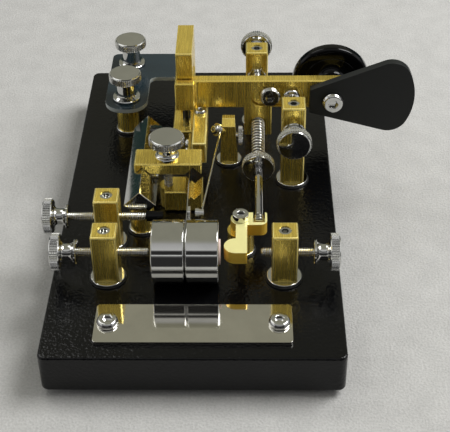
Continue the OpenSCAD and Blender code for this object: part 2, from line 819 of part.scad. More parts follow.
module terminal_standoffs() {
    color(BRASS) for (y = terminal_rows) translate([-terminal_x, y, 0]) above() difference() {
        round_post(standoff_d, standoff_d, terminal_plate_h - terminal_plate_t);
        translate([0, 0, seat + under_grip + 3 * cut]) cylinder(r = bore_r, h = terminal_plate_h);
    }
}

module set_screw(h, axis_h) {
    from = axis_h + thread_r + turn_gap;
    above(from) difference() {
        cylinder(d = set_screw_d, h = h - set_screw_sink - from);
        translate([0, 0, h - set_screw_sink - from - set_screw_d / 2])
            cylinder(d = set_screw_d * set_socket, h = set_screw_d, $fn = 6);
    }
}

module post_set_screws() {
    color(CHROME) {
        for (i = [0:2]) translate(square_posts[i]) set_screw(low_post_h, low_axis_h);
        for (i = [3:4]) translate(square_posts[i]) set_screw(stop_post_h, stop_axis_h);
    }
}

module left_near_screw() {
    collar_x = near_post_x + post_w / 2 + bare_thread;
    tip_x = strip_x + strip_t / 2 + weight_t + weight_stop_gap;
    color(CHROME) translate([-collar_x, near_y, 0]) above(low_axis_h) rotate([0, -90, 0])
        thumb_screw(collar_x - tip_x);
}

module right_near_screw() {
    collar_x = near_post_x + post_w / 2 + bare_thread;
    color(CHROME) translate([collar_x, near_y, 0]) above(low_axis_h) rotate([0, 90, 0])
        thumb_screw(bare_thread + post_w + right_tip_reach);
}

// The left far screw ends in a black tip beside the rail
far_collar_x = far_post_x + post_w / 2 + far_bare_thread;
far_tip_x = far_post_x - post_w / 2 - far_tip_reach;

module left_far_screw() {
    color(CHROME) translate([-far_collar_x, far_y, 0]) above(low_axis_h) rotate([0, -90, 0])
        thumb_screw(far_collar_x - far_tip_x);
}

module damper_tip() {
    color(BLACK) translate([-far_tip_x, far_y, 0]) above(low_axis_h)
        rod_along_x(tip_d / 2, tip_len);
}

module near_stop_screw() {
    collar_y = near_stop_y - post_w / 2 - near_stop_bare;
    tip_y = dash_y - dash_button_t - dash_gap;
    color(CHROME) translate([near_stop_x, collar_y, 0]) above(stop_axis_h) rotate([90, 0, 0])
        thumb_screw(tip_y - collar_y);
}

module far_stop_screw() {
    collar_y = far_stop_y + post_w / 2 + far_stop_bare;
    color(CHROME) translate([far_stop_x, collar_y, 0]) above(stop_axis_h) rotate([-90, 0, 0])
        thumb_screw(collar_y - lever_back - stop_gap);
}

module far_stop_nut() {
    nut_y = far_stop_y - post_w / 2 - turn_gap - lock_nut_t;
    color(CHROME) translate([far_stop_x, nut_y, 0]) above(stop_axis_h) rotate([-90, 0, 0]) difference() {
        cylinder(d = lock_nut_d, h = lock_nut_t, $fn = 6);
        translate([0, 0, -cut]) cylinder(r = bore_r, h = lock_nut_t + 2 * cut);
    }
}

module diamond_rail() {
    low = rail_half - rail_under;
    color(CHROME) translate([-rail_x, rail_y + rail_len, 0]) above(rail_h) rotate([90, 0, 0])
        linear_extrude(rail_len) polygon([
            [-rail_half, 0], [-low, -rail_under], [low, -rail_under], [rail_half, 0], [0, rail_half]
        ]);
}

// The carriage bar rides on the rail's ridge and spans the pendulum strip
bar_z = rail_h + rail_half + notch_gap - notch_depth;

module notch(x, peak, foot) {
    half = abs(peak - foot) + cut;
    side = sign(foot - peak) * cut;
    translate([x, carriage_y + carriage_d + cut, 0]) above() rotate([90, 0, 0])
        linear_extrude(carriage_d + 2 * cut)
            polygon([[0, peak], [half, foot + side], [-half, foot + side]]);
}

module carriage_bar() {
    color(BRASS) difference() {
        translate([-rail_x - bar_over, carriage_y, 0]) above(bar_z) block([bar_len, carriage_d, bar_t]);
        notch(-rail_x, bar_z + notch_depth, bar_z);
        notch(-strip_notch_x, bar_z + notch_depth, bar_z);
        translate([-carriage_screw_x, carriage_y + carriage_d / 2, 0]) above(bar_z - cut)
            cylinder(r = bore_r, h = bar_t + 2 * cut);
    }
}

module carriage_block() {
    block_x = bar_len - bar_over - rail_x;
    tall = carriage_block_h - carriage_block_gap;
    color(BRASS) difference() {
        above(carriage_block_gap) {
            translate([block_x - carriage_block_w, carriage_y, 0])
                block([carriage_block_w, carriage_d, tall]);
            translate([-carriage_screw_x, carriage_y + carriage_d / 2, 0])
                cylinder(r = stud_boss_r, h = tall);
        }
        notch(-strip_notch_x, carriage_block_h - notch_depth, carriage_block_h);
        translate([-carriage_screw_x, carriage_y + carriage_d / 2, 0]) above(2 * carriage_block_gap)
            cylinder(r = bore_r, h = tall);
    }
}

module carriage_screw() {
    color(CHROME) translate([-carriage_screw_x, carriage_y + carriage_d / 2, 0])
        above(bar_z + bar_t + turn_gap)
            thumb_screw(bar_z + bar_t - carriage_block_h / 3);
}

// The pivot frame is a C on a wide foot, with the pin through the gap
arm_z = lever_top + arm_gap;
pin_z = frame_foot_h - pin_in_foot;
pin_len = arm_z + pin_in_arm - pin_z;

module pivot_frame() {
    c = edge_c;
    up = arm_z + frame_arm_h;
    inner = frame_back - frame_back_t;
    color(BRASS) difference() {
        above() {
            translate([-pivot_x - frame_foot_w / 2, frame_y, 0])
                block([frame_foot_w, frame_d, frame_foot_h]);
            translate([-pivot_x, 0, 0]) rotate([90, 0, 90]) linear_extrude(frame_w, center = true) polygon([
                [inner, frame_foot_h / 2], [inner, arm_z], [frame_y + c, arm_z], [frame_y, arm_z + c],
                [frame_y, up - c], [frame_y + c, up], [frame_back - c, up], [frame_back, up - c],
                [frame_back, frame_foot_h / 2]
            ]);
        }
        translate([-pivot_x, pivot_y, 0]) above(pin_z) cylinder(d = pin_d + 2 * fit, h = pin_len + cut);
        for (p = frame_screws) translate(p) above(-cut) cylinder(r = bore_r, h = under_grip + 2 * cut);
    }
}

module pivot_pin() {
    color(CHROME) translate([-pivot_x, pivot_y, 0]) above(pin_z) cylinder(d = pin_d, h = pin_len);
}

// Round-ended slot seen from the front, centred
module obround(len, h) {
    square([len - h, h], center = true);
    for (x = [-1, 1]) translate([x * (len - h) / 2, 0]) circle(d = h);
}

dash_y = lever_y + recess_depth - dash_plate_t;

module lever() {
    bar_x = block_w / 2 - pivot_x;
    fillet_y = lever_y - block_fillet;
    color(BRASS) difference() {
        above(lever_z) {
            translate([-pivot_x - block_w / 2, pivot_y - block_front, 0])
                block([block_w, block_front + block_back, lever_h]);
            translate([-pivot_x, lever_y, 0]) block([lever_len, lever_t, lever_h]);
            translate([rod_x - tab_w / 2, lever_y, -tab_drop])
                block([tab_w, lever_t, tab_drop + lever_h / 2]);
            translate([bar_x - cut, fillet_y, edge_c]) difference() {
                cube([block_fillet + cut, block_fillet + cut, lever_h - 2 * edge_c]);
                translate([block_fillet + cut, 0, -cut]) cylinder(r = block_fillet, h = lever_h);
            }
        }
        translate([-pivot_x, pivot_y, 0]) above(lever_z - cut)
            cylinder(d = pin_d + 2 * fit, h = lever_h + 2 * cut);
        translate([recess_x - pivot_x, lever_y + recess_depth, 0]) above(stop_axis_h) rotate([90, 0, 0])
            linear_extrude(recess_depth + cut) obround(recess_len, recess_h);
        translate([dash_screw_x - pivot_x, lever_y, 0]) above(stop_axis_h)
            rod_along_y(big_thread_d / 2 + fit, lever_t + cut);
        translate([paddle_screw_x - pivot_x, lever_y - cut, 0]) above(paddle_axis_h)
            rod_along_y(big_thread_d / 2 + fit, lever_t + 2 * cut);
        translate([rod_x, lever_y - cut, 0]) above(rod_h) {
            rod_along_y(tab_hole_d / 2, spring_seat + cut);
            rod_along_y(rod_d / 2 + rod_play, lever_t + 2 * cut);
        }
    }
}

module dash_contact_plate() {
    play = 2 * cut;
    color(BRASS) difference() {
        translate([recess_x - pivot_x, lever_y + recess_depth, 0]) above(stop_axis_h) rotate([90, 0, 0])
            linear_extrude(dash_plate_t) obround(recess_len - play, recess_h - play);
        translate([dash_screw_x - pivot_x, lever_y, 0]) above(stop_axis_h)
            rod_along_y(big_thread_d / 2 + fit, lever_t);
    }
}

module dash_contact_screw() {
    color(CHROME) translate([dash_screw_x - pivot_x, dash_y, 0]) above(stop_axis_h) rotate([90, 0, 0])
        button_screw(big_head_d, big_head_h, big_thread_d, lever_back - dash_y);
}

module dash_contact_button() {
    color(CHROME) translate([near_stop_x, dash_y, 0]) above(stop_axis_h) rotate([90, 0, 0])
        cylinder(d = dash_button_d, h = dash_button_t);
}

// Paddle seen from the front: small circles at its narrow end, larger ones at the corners of its broad
// end, tangents between them and a shallow arc as the outer edge
function unit(a) = [cos(a), sin(a)];
function tangent_angle(p, c, grow, side) =
    atan2(c.y - p.y, c.x - p.x) + side * asin(grow / norm(c - p));

module paddle_outline() {
    corner = paddle_corner;
    r = paddle_end_r;
    lift = paddle_end_h / 2 - corner;
    half = paddle_r - r;
    hub = [paddle_reach - paddle_edge_r, paddle_rise];
    tips = [for (s = [-1, 1]) [paddle_start + corner, s * lift - paddle_drop]];
    ends = [for (s = [-1, 1]) hub + [sqrt(pow(paddle_edge_r - r, 2) - half * half), s * half]];
    turns = [for (i = [0, 1]) tangent_angle(tips[i], ends[i], r - corner, 2 * i - 1) + 180 * i - 90];
    polygon([
        tips[0] + corner * unit(turns[0]), ends[0] + r * unit(turns[0]), ends[0],
        ends[1], ends[1] + r * unit(turns[1]), tips[1] + corner * unit(turns[1]),
        tips[1] - [corner, 0], tips[0] - [corner, 0]
    ]);
    for (t = tips) translate(t) circle(corner);
    for (e = ends) translate(e) circle(r);
    intersection() {
        translate(hub) circle(paddle_edge_r);
        polygon([hub, 2 * ends[0] - hub, 2 * ends[1] - hub]);
    }
}

module paddle() {
    color(BLACK) difference() {
        translate([-pivot_x, lever_y, 0]) above(lever_mid) rotate([90, 0, 0])
            linear_extrude(paddle_t) paddle_outline();
        translate([paddle_screw_x - pivot_x, lever_y - paddle_t - cut, 0]) above(paddle_axis_h)
            rod_along_y(big_thread_d / 2 + fit, paddle_t + 2 * cut);
    }
}

module paddle_screw() {
    color(CHROME) translate([paddle_screw_x - pivot_x, lever_y - paddle_t, 0]) above(paddle_axis_h)
        rotate([90, 0, 0])
            button_screw(big_head_d, big_head_h, big_thread_d, paddle_t + lever_t + knob_len / 2);
}

module finger_knob() {
    soft = knob_rim_t * knob_soft;
    back = knob_len - knob_rim_t;
    flare = knob_neck_d * knob_flare;
    color(BLACK) translate([paddle_screw_x - pivot_x, lever_back, 0]) above(paddle_axis_h)
        rotate([-90, 0, 0]) difference() {
            rotate_extrude() {
                polygon([
                    [0, 0], [knob_neck_d * knob_foot, 0], [knob_neck_d / 2, back / 3],
                    [knob_neck_d / 2, back * knob_flare], [flare, back + soft / 2],
                    [flare, knob_len - soft], [0, knob_len - soft]
                ]);
                translate([0, back]) square([knob_d / 2 - soft, knob_rim_t]);
                translate([0, back + soft]) square([knob_d / 2, knob_rim_t - 2 * soft]);
                for (z = [back + soft, knob_len - soft]) translate([knob_d / 2 - soft, z]) circle(soft);
            }
            translate([0, 0, -cut]) cylinder(d = big_thread_d + 2 * fit, h = knob_len / 2 + 2 * cut);
        }
}

// Pendulum: an arm under the lever, a thin strip on its side and two weights on the strip
arm_end = pivot_y - arm_reach;
clamp_z = lever_z - arm_h + edge_c;
clamp_h = strip_z + strip_h - clamp_z - edge_c;
clamp_rows = [for (share = clamp_shares) arm_end + strip_hold * share];

module clamp_holes(from, len) {
    for (y = clamp_rows) translate([from, y, 0]) above(clamp_z + clamp_h / 2)
        rod_along_x(clamp_screw_d / 2 + fit, len);
}

module pendulum_arm() {
    color(BRASS) difference() {
        translate([arm_left, arm_end, 0]) above(lever_z - arm_h)
            block([arm_w, lever_back - arm_end, arm_h]);
        clamp_holes(arm_left - cut, arm_w / 2 + cut);
        translate([arm_left + arm_w / 2, lever_y - arm_screw_gap, 0]) above(lever_z - arm_h / 2)
            cylinder(r = bore_r, h = arm_h);
    }
}

module pendulum_arm_screw() {
    color(CHROME) translate([arm_left + arm_w / 2, lever_y - arm_screw_gap, 0]) above(lever_z)
        button_screw(arm_head_d, arm_head_h, thread_d, arm_h / 2);
}

module strip_clamp() {
    color(BRASS) difference() {
        translate([clamp_right - clamp_t, arm_end, 0]) above(clamp_z)
            block([clamp_t, strip_hold, clamp_h], clamp_t / 4);
        clamp_holes(clamp_right - clamp_t - cut, clamp_t + 2 * cut);
    }
}

module strip_clamp_screws() {
    from = clamp_right - clamp_t;
    color(CHROME) for (y = clamp_rows) translate([from, y, 0]) above(clamp_z + clamp_h / 2)
        rotate([0, -90, 0])
            button_screw(clamp_head_d, clamp_head_h, clamp_screw_d, arm_left + arm_w / 2 - from);
}

module pendulum_strip() {
    strip_y = near_y - strip_lap;
    color("#aeb2b6") difference() {
        translate([strip_left, strip_y, 0]) above(strip_z)
            cube([strip_t, arm_end + strip_hold - strip_y, strip_h]);
        clamp_holes(strip_left - cut, strip_t + 2 * cut);
        translate([strip_left - cut, near_y, 0]) above(low_axis_h) rod_along_x(bore_r, strip_t + 2 * cut);
    }
}

// Weight along Z with a blind bore from its foot
module weight() {
    c = weight_c;
    difference() {
        rotate_extrude() polygon([
            [0, 0], [weight_d / 2 - c, 0], [weight_d / 2, c], [weight_d / 2, weight_t - c],
            [weight_d / 2 - c, weight_t], [0, weight_t]
        ]);
        translate([0, 0, -cut]) cylinder(r = bore_r, h = weight_t / 2 + 2 * cut);
    }
}

module left_weight() {
    color(CHROME) translate([strip_left, near_y, 0]) above(low_axis_h) rotate([0, -90, 0]) weight();
}

module right_weight() {
    color(CHROME) translate([strip_right, near_y, 0]) above(low_axis_h) rotate([0, 90, 0]) weight();
}

module weight_bolt() {
    color(CHROME) translate([-strip_x - weight_t / 2, near_y, 0]) above(low_axis_h)
        rod_along_x(thread_r, weight_t);
}

module weight_pad() {
    color("#e6d6cf") translate([strip_right + weight_t, near_y, 0]) above(low_axis_h)
        rod_along_x(pad_d / 2, pad_t);
}

module pendulum_contact() {
    color("#e2e4e6") translate([strip_right, dot_y - dot_block_d / 2, 0])
        above(dot_contact_h + dot_bead_d / 2 - dot_block_h)
            block([dot_block_w, dot_block_d, dot_block_h], edge_c / 2);
}

// Damper crank seen from above: eye, arm with a slot for the push rod, limb and rounded toe
rod_slot = rod_d / 2 + rod_lip + rod_play;

module crank_outline() {
    soft = crank_corner;
    right = limb_w * limb_share;
    toe_x = pad_face + toe_gap + toe_w / 2 - crank_x;
    toe_y = -crank_gap - toe_w / 2;
    arm = rod_x - crank_x + rod_slot + crank_wall;
    circle(eye_r);
    translate([0, -eye_r]) square([arm - crank_bend, 2 * eye_r]);
    translate([0, crank_bend - eye_r]) square([arm, 2 * eye_r - crank_bend - soft]);
    translate([0, crank_bend - eye_r]) square([arm - soft, 2 * eye_r - crank_bend]);
    translate([arm - crank_bend, crank_bend - eye_r]) circle(crank_bend);
    translate([arm - soft, eye_r - soft]) circle(soft);
    translate([right - limb_w, -crank_gap]) square([limb_w, crank_gap]);
    translate([toe_x, toe_y]) square([right - toe_x - soft, toe_w]);
    translate([toe_x, toe_y + soft]) square([right - toe_x, toe_w - soft]);
    translate([right - soft, toe_y + soft]) circle(soft);
    translate([toe_x, -crank_gap]) circle(toe_w / 2);
}

rod_end = crank_y - rod_d / 2;

module damper_crank() {
    color(BRASS) translate([crank_x, crank_y, 0]) above(crank_z) difference() {
        linear_extrude(crank_t) crank_outline();
        translate([0, 0, -cut]) cylinder(r = bore_r, h = crank_t + 2 * cut);
        translate([rod_x - crank_x - rod_slot, rod_end - rod_play - crank_y, rod_h - crank_z - rod_slot])
            cube([2 * rod_slot, 2 * eye_r + rod_d, 2 * rod_slot]);
    }
}

module crank_screw() {
    len = crank_z + crank_t + turn_gap - seat - under_grip - 4 * cut;
    color(CHROME) translate([crank_x, crank_y, 0]) above(crank_z + crank_t + turn_gap) difference() {
        union() {
            cylinder(d = crank_head_d, h = crank_head_h);
            translate([0, 0, -len]) cylinder(r = thread_r, h = len + cut);
        }
        translate([0, 0, crank_head_h / 2]) cylinder(d = crank_head_d / 2, h = crank_head_h, $fn = 6);
    }
}

// Push rod, its spring nut and the coil between the nut and the lever's tab
nut_back = lever_y + spring_seat - spring_gap - spring_len;

module push_rod() {
    color(CHROME) translate([rod_x, rod_end, 0]) above(rod_h) {
        rod_along_y(rod_d / 2, lever_back + rod_past - rod_end);
        for (i = [0:2]) translate([0, i * rod_d * ring_step, 0])
            rod_along_y(rod_d / 2 + rod_lip, rod_d * ring_len);
    }
}

module spring_nut() {
    color(CHROME) translate([rod_x, nut_back - turn_gap - spring_nut_t, 0]) above(rod_h) difference() {
        rod_along_y(spring_nut_d / 2, spring_nut_t);
        translate([0, -cut, 0]) rod_along_y(rod_d / 2 + fit, spring_nut_t + 2 * cut);
    }
}

// Coil: rings along a helix about Y, with a short straight end at each face
coil_r = (spring_d - wire_d) / 2;
coil_pitch = (spring_len - 2 * wire_d) / spring_turns;
coil_steps = 8;
coil_sides = 6;
coil_last = spring_turns * coil_steps;

function coil_radial(a) = [cos(a), 0, sin(a)];
function coil_point(i) =
    let (a = 360 * i / coil_steps) coil_r * coil_radial(a) + [0, wire_d + coil_pitch * i / coil_steps, 0];
function coil_heading(i) =
    let (a = 360 * i / coil_steps, v = [-sin(a) * 2 * PI * coil_r, coil_pitch, cos(a) * 2 * PI * coil_r])
    v / norm(v);
function coil_ring(p, n, t) = [
    for (k = [0:coil_sides - 1])
        let (a = 360 * k / coil_sides) p + wire_d / 2 * (cos(a) * n + sin(a) * cross(t, n))
];
coil_path = [for (i = [0:coil_last]) coil_point(i)];
coil_rings = concat(
    [coil_ring(coil_path[0] - [0, wire_d, 0], coil_radial(0), [0, 1, 0])],
    [for (i = [0:coil_last]) coil_ring(coil_path[i], coil_radial(360 * i / coil_steps), coil_heading(i))],
    [coil_ring(coil_path[coil_last] + [0, wire_d, 0], coil_radial(0), [0, 1, 0])]
);
coil_self_gap = min([
    for (i = [0:coil_last], j = [i + coil_steps / 2:coil_last]) norm(coil_path[i] - coil_path[j])
]) - wire_d;
echo(coil_self_gap = coil_self_gap);

module return_spring() {
    rings = len(coil_rings);
    n = coil_sides;
    sides = [
        for (i = [0:rings - 2], k = [0:n - 1])
            let (a = i * n + k, b = i * n + (k + 1) % n)
            each [[a, a + n, b], [b, a + n, b + n]]
    ];
    caps = [
        for (k = [1:n - 2]) each [
            [0, k, k + 1],
            [(rings - 1) * n, (rings - 1) * n + k + 1, (rings - 1) * n + k]
        ]
    ];
    color("#b9bcc0") translate([rod_x, nut_back, 0]) above(rod_h)
        polyhedron(points = [for (r = coil_rings) each r], faces = concat(sides, caps));
}

// Dot contact: a knurled screw in a slim post, and a wire from its slanted screw to the contact bead
wire_axis = [
    sin(wire_screw_lean) * cos(wire_screw_turn), sin(wire_screw_lean) * sin(wire_screw_turn),
    cos(wire_screw_lean)
];
wire_side = [-sin(wire_screw_turn), cos(wire_screw_turn), 0];

module dot_contact_screw() {
    knob_x = dot_foot_w / 2 + turn_gap;
    color(CHROME) translate([dot_post_x, dot_post_y, 0]) above(dot_screw_h) {
        rod_along_x(dot_screw_d / 2, knob_x + dot_knob_t);
        translate([knob_x, 0, 0]) rod_along_x(dot_knob_d / 2, dot_knob_t);
    }
}

module dot_wire_screw() {
    color(CHROME) translate([dot_post_x, dot_post_y, 0]) above()
        on_wire_screw(wire_screw_reach + wire_eye_t)
            button_screw(wire_head_d, wire_head_h, wire_screw_d, wire_eye_t + wire_grip);
}

// Straight run of the wire from the side of its eye into the ferrule
wire_from = [dot_post_x, dot_post_y, wire_screw_h] + (wire_screw_reach + wire_eye_t / 2) * wire_axis
    + (wire_eye_d - dot_wire_d) / 2 * wire_side;
wire_run = [bead_face + dot_bead_len + ferrule_len / 2, dot_y, dot_contact_h] - wire_from;

module wire_rod(r) {
    translate(wire_from) rotate([0, acos(wire_run.z / norm(wire_run)), atan2(wire_run.y, wire_run.x)])
        cylinder(r = r, h = norm(wire_run));
}

module dot_contact_wire() {
    color("#d5d8da") above() difference() {
        union() {
            translate([dot_post_x, dot_post_y, 0]) on_wire_screw(wire_screw_reach)
                cylinder(d = wire_eye_d, h = wire_eye_t);
            wire_rod(dot_wire_d / 2);
        }
        translate([dot_post_x, dot_post_y, 0]) on_wire_screw(wire_screw_reach - cut)
            cylinder(d = wire_screw_d + 2 * fit, h = wire_eye_t + 2 * cut);
    }
}

module dot_contact_bead() {
    color("#e2e4e6") above() difference() {
        translate([bead_face, dot_y, dot_contact_h]) {
            rod_along_x(dot_bead_d / 2, dot_bead_len);
            rod_along_x(ferrule_d / 2, dot_bead_len + ferrule_len);
        }
        wire_rod(dot_wire_d / 2 + fit);
    }
}

// Terminal plate: a leg under the two terminals and a cross piece behind the pivot frame
module terminal_outline() {
    left = -terminal_x - leg_w / 2;
    right = left + leg_w;
    front = terminal_y - leg_front;
    back = terminal_y + terminal_pitch + leg_back;
    cross_y = back - cross_d;
    translate([left + leg_r, front]) square([leg_w - 2 * leg_r, leg_r]);
    for (x = [left + leg_r, right - leg_r]) translate([x, front + leg_r]) circle(leg_r);
    translate([left, front + leg_r]) square([leg_w, cross_y - front - leg_r + cross_r]);
    translate([(left + right + cross_len) / 2, back - cross_d / 2])
        soft_rect(leg_w + cross_len, cross_d, cross_r);
    difference() {
        translate([right - cut, cross_y - cross_r]) square(cross_r + cut);
        translate([right + cross_r, cross_y - cross_r]) circle(cross_r);
    }
    translate([left, cross_y]) square([leg_w, cross_r]);
}

module terminal_plate() {
    color("#2c3a42") above(terminal_plate_h - terminal_plate_t) difference() {
        linear_extrude(terminal_plate_t) terminal_outline();
        for (y = terminal_rows) translate([-terminal_x, y, -cut])
            cylinder(r = bore_r, h = terminal_plate_t + 2 * cut);
    }
}

module terminal_studs() {
    from = seat + under_grip + 4 * cut;
    color(CHROME) for (y = terminal_rows) translate([-terminal_x, y, 0]) above(from)
        cylinder(r = thread_r, h = terminal_plate_h + terminal_nut_h / 2 - from);
}

module terminal_nut(y) {
    color(CHROME) translate([-terminal_x, y, 0]) above(terminal_plate_h + turn_gap) difference() {
        thumb_screw(0, terminal_nut_h, terminal_foot_d, terminal_waist_d);
        translate([0, 0, -cut]) cylinder(r = bore_r, h = terminal_nut_h / 2 + 2 * cut);
    }
}

module near_terminal_nut() {
    terminal_nut(terminal_rows[0]);
}

module far_terminal_nut() {
    terminal_nut(terminal_rows[1]);
}

base();
rubber_mat();
nameplate();
nameplate_screws();
insulating_rings();
post_washers();
post_screws();
left_near_post();
right_near_post();
left_far_post();
near_stop_post();
far_stop_post();
dot_contact_post();
rail_posts();
crank_post();
terminal_standoffs();
post_set_screws();
left_near_screw();
right_near_screw();
left_far_screw();
damper_tip();
near_stop_screw();
far_stop_screw();
far_stop_nut();
diamond_rail();
carriage_bar();
carriage_block();
carriage_screw();
pivot_frame();
pivot_pin();
lever();
dash_contact_plate();
dash_contact_screw();
dash_contact_button();
paddle();
paddle_screw();
finger_knob();
pendulum_arm();
pendulum_arm_screw();
strip_clamp();
strip_clamp_screws();
pendulum_strip();
left_weight();
right_weight();
weight_bolt();
weight_pad();
pendulum_contact();
damper_crank();
crank_screw();
push_rod();
spring_nut();
return_spring();
dot_contact_screw();
dot_wire_screw();
dot_contact_wire();
dot_contact_bead();
terminal_plate();
terminal_studs();
near_terminal_nut();
far_terminal_nut();
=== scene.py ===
# %% [markdown]
# # A semi-automatic telegraph key
# The key is a painted slab that carries brass posts, a finger lever and a weighted steel strip that
# swings by itself to send dots. The solids come from the CAD model and are already in place, so this
# lesson gives each surface its finish and adds the fine forms: knurls, threads, coils and soft edges.

# %% Load the frame
import json
import math

import bmesh
import bpy
from mathutils import Matrix, Vector


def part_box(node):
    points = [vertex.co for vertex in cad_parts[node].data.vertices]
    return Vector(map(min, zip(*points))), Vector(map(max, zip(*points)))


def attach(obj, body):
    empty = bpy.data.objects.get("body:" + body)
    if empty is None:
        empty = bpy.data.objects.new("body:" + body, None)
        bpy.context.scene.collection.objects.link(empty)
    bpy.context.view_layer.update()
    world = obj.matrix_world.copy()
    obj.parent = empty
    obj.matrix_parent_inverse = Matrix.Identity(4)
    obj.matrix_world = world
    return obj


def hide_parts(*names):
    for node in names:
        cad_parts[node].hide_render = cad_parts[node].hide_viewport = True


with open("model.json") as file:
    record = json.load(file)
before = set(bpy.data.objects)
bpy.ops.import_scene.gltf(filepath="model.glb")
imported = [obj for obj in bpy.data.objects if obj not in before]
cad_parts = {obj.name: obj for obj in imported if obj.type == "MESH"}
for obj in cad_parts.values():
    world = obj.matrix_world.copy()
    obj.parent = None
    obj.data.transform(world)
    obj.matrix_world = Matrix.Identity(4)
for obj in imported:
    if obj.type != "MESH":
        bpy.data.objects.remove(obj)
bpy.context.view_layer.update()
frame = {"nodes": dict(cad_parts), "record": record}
nodes = frame["nodes"]
scene = bpy.context.scene
scene.view_settings.view_transform = "Standard"
MM = 0.001

# %% [markdown]
# ## Camera
# The photograph looks down on the key's near edge from arm's length. A long lens keeps the sides of
# the slab nearly parallel. The place, the aim and the slight roll were found from the slab's edges.

# %% Camera
IMAGE_W, FOCAL_PX = 450, 1120.7
SENSOR_W = 36
CAMERA_PLACE = Vector((16.45, -311.7, 253.3)) * MM
YAW, PITCH, ROLL = (math.radians(a) for a in (-1.48, 38.46, -0.95))

ahead = Vector((math.sin(YAW) * math.cos(PITCH), math.cos(YAW) * math.cos(PITCH), -math.sin(PITCH)))
side = Vector((math.cos(YAW), -math.sin(YAW), 0))
up = side.cross(ahead)
right = math.cos(ROLL) * side + math.sin(ROLL) * up
above = -math.sin(ROLL) * side + math.cos(ROLL) * up
camera = bpy.data.objects.new("camera", bpy.data.cameras.new("camera"))
scene.collection.objects.link(camera)
camera.data.sensor_fit = "HORIZONTAL"
camera.data.sensor_width = SENSOR_W
camera.data.lens = SENSOR_W * FOCAL_PX / IMAGE_W
camera.data.clip_start = 0.01
turn = Matrix((right, above, -ahead)).transposed().to_4x4()
camera.matrix_world = Matrix.Translation(CAMERA_PLACE) @ turn
scene.camera = camera
print("lens", round(camera.data.lens, 2))

# %% [markdown]
# ## Node helpers
# The room, the finishes and the repeated shapes are all node trees. Five small helpers write them. One
# adds a node with its values and links. The others make a colour ramp, a change of range, a mix of two
# colours and one plain colour.

# %% Node helpers
def node(tree, kind, values=(), links=(), **settings):
    made = tree.nodes.new(kind)
    for key, value in settings.items():
        setattr(made, key, value)
    for socket, value in dict(values).items():
        made.inputs[socket].default_value = value
    for socket, source in dict(links).items():
        tree.links.new(source, made.inputs[socket])
    return made


def steps(tree, factor, *stops):
    made = node(tree, "ShaderNodeValToRGB", links={"Fac": factor})
    ramp = made.color_ramp
    while len(ramp.elements) < len(stops):
        ramp.elements.new(1)
    for element, (place, level) in zip(ramp.elements, stops):
        element.position = place
        element.color = (*level, 1) if isinstance(level, tuple) else (level, level, level, 1)
    return made.outputs["Color"]


def spread(tree, value, low, high, to_low=0.0, to_high=1.0):
    span = {"From Min": low, "From Max": high, "To Min": to_low, "To Max": to_high}
    return node(tree, "ShaderNodeMapRange", span, {"Value": value}).outputs["Result"]


def mixed(tree, factor, first, second):
    made = node(tree, "ShaderNodeMix", links={"Factor": factor}, data_type="RGBA")
    tree.links.new(first, made.inputs["A"])
    tree.links.new(second, made.inputs["B"])
    return made.outputs["Result"]


def plain_colour(tree, colour):
    made = node(tree, "ShaderNodeRGB")
    made.outputs["Color"].default_value = (*colour, 1)
    return made.outputs["Color"]


print("helpers", node.__name__, steps.__name__, spread.__name__, mixed.__name__, plain_colour.__name__)

# %% [markdown]
# ## Room
# Polished metal shows whatever is around it, so the world is drawn as a room. Ahead, a dim wall ends
# below a grey ceiling. The near side is dark with two pale bands, and windows are bright at the left and
# right. Each ramp runs from straight down at 0 over the horizon at 0.5 to straight up at 1. The camera
# itself sees a plain pale backdrop, so that views from other sides stay calm.

# %% Room
WALL, CEILING, BACKDROP = (0.02, 0.036, 0.032), (0.3, 0.295, 0.235), (0.5, 0.495, 0.48)
DARK = 0.03
NEAR_TO_FAR, WINDOW_SIDES = (-0.35, 0.1), (0.68, 0.85)

scene.world = bpy.data.worlds.new("room")
scene.world.use_nodes = True
room = scene.world.node_tree
direction = node(room, "ShaderNodeTexCoord").outputs["Generated"]
parts = node(room, "ShaderNodeSeparateXYZ", links={"Vector": direction}).outputs
rise = spread(room, parts["Z"], -1, 1)
far_side = steps(room, rise, (0.0, WALL), (0.6, WALL), (0.66, CEILING), (1.0, CEILING))
near_side = steps(room, rise, (0.0, DARK), (0.66, DARK), (0.7, 0.12), (0.73, 0.8), (0.75, DARK),
                  (0.83, DARK), (0.86, 0.6), (0.95, 0.5), (1.0, CEILING))
windows = steps(room, rise, (0.0, 0.1), (0.5, 0.2), (0.56, 0.25), (0.64, 0.95), (0.84, 0.95),
                (0.95, 0.45))
ends_of_room = mixed(room, spread(room, parts["Y"], *NEAR_TO_FAR), near_side, far_side)
sideways = node(room, "ShaderNodeMath", links={0: parts["X"]}, operation="ABSOLUTE").outputs["Value"]
walls = mixed(room, spread(room, sideways, *WINDOW_SIDES), ends_of_room, windows)
seen = node(room, "ShaderNodeLightPath").outputs["Is Camera Ray"]
shown = mixed(room, seen, walls, plain_colour(room, BACKDROP))
room.links.new(shown, room.nodes["Background"].inputs["Color"])
print("room of", len(room.nodes), "nodes")

# %% [markdown]
# ## Lamps and floor
# Two soft disc lamps hang high at the left and the right, and the right one is the stronger. The floor
# is a plain pale cloth. It ends a little before and behind the key, as a cloth on a table does, so the
# low faces of the chrome mirror the dark room past its edges.

# %% Lamps and floor
LAMP_SIZE = 0.6
FLOOR_HALF, FLOOR_FRONT, FLOOR_BACK = 0.5, -0.17, 0.21


def lamp(name, place, watts):
    made = bpy.data.objects.new(name, bpy.data.lights.new(name, "AREA"))
    scene.collection.objects.link(made)
    made.data.shape = "DISK"
    made.data.size = LAMP_SIZE
    made.data.energy = watts
    made.location = place
    made.rotation_euler = (-Vector(place)).to_track_quat("-Z", "Y").to_euler()


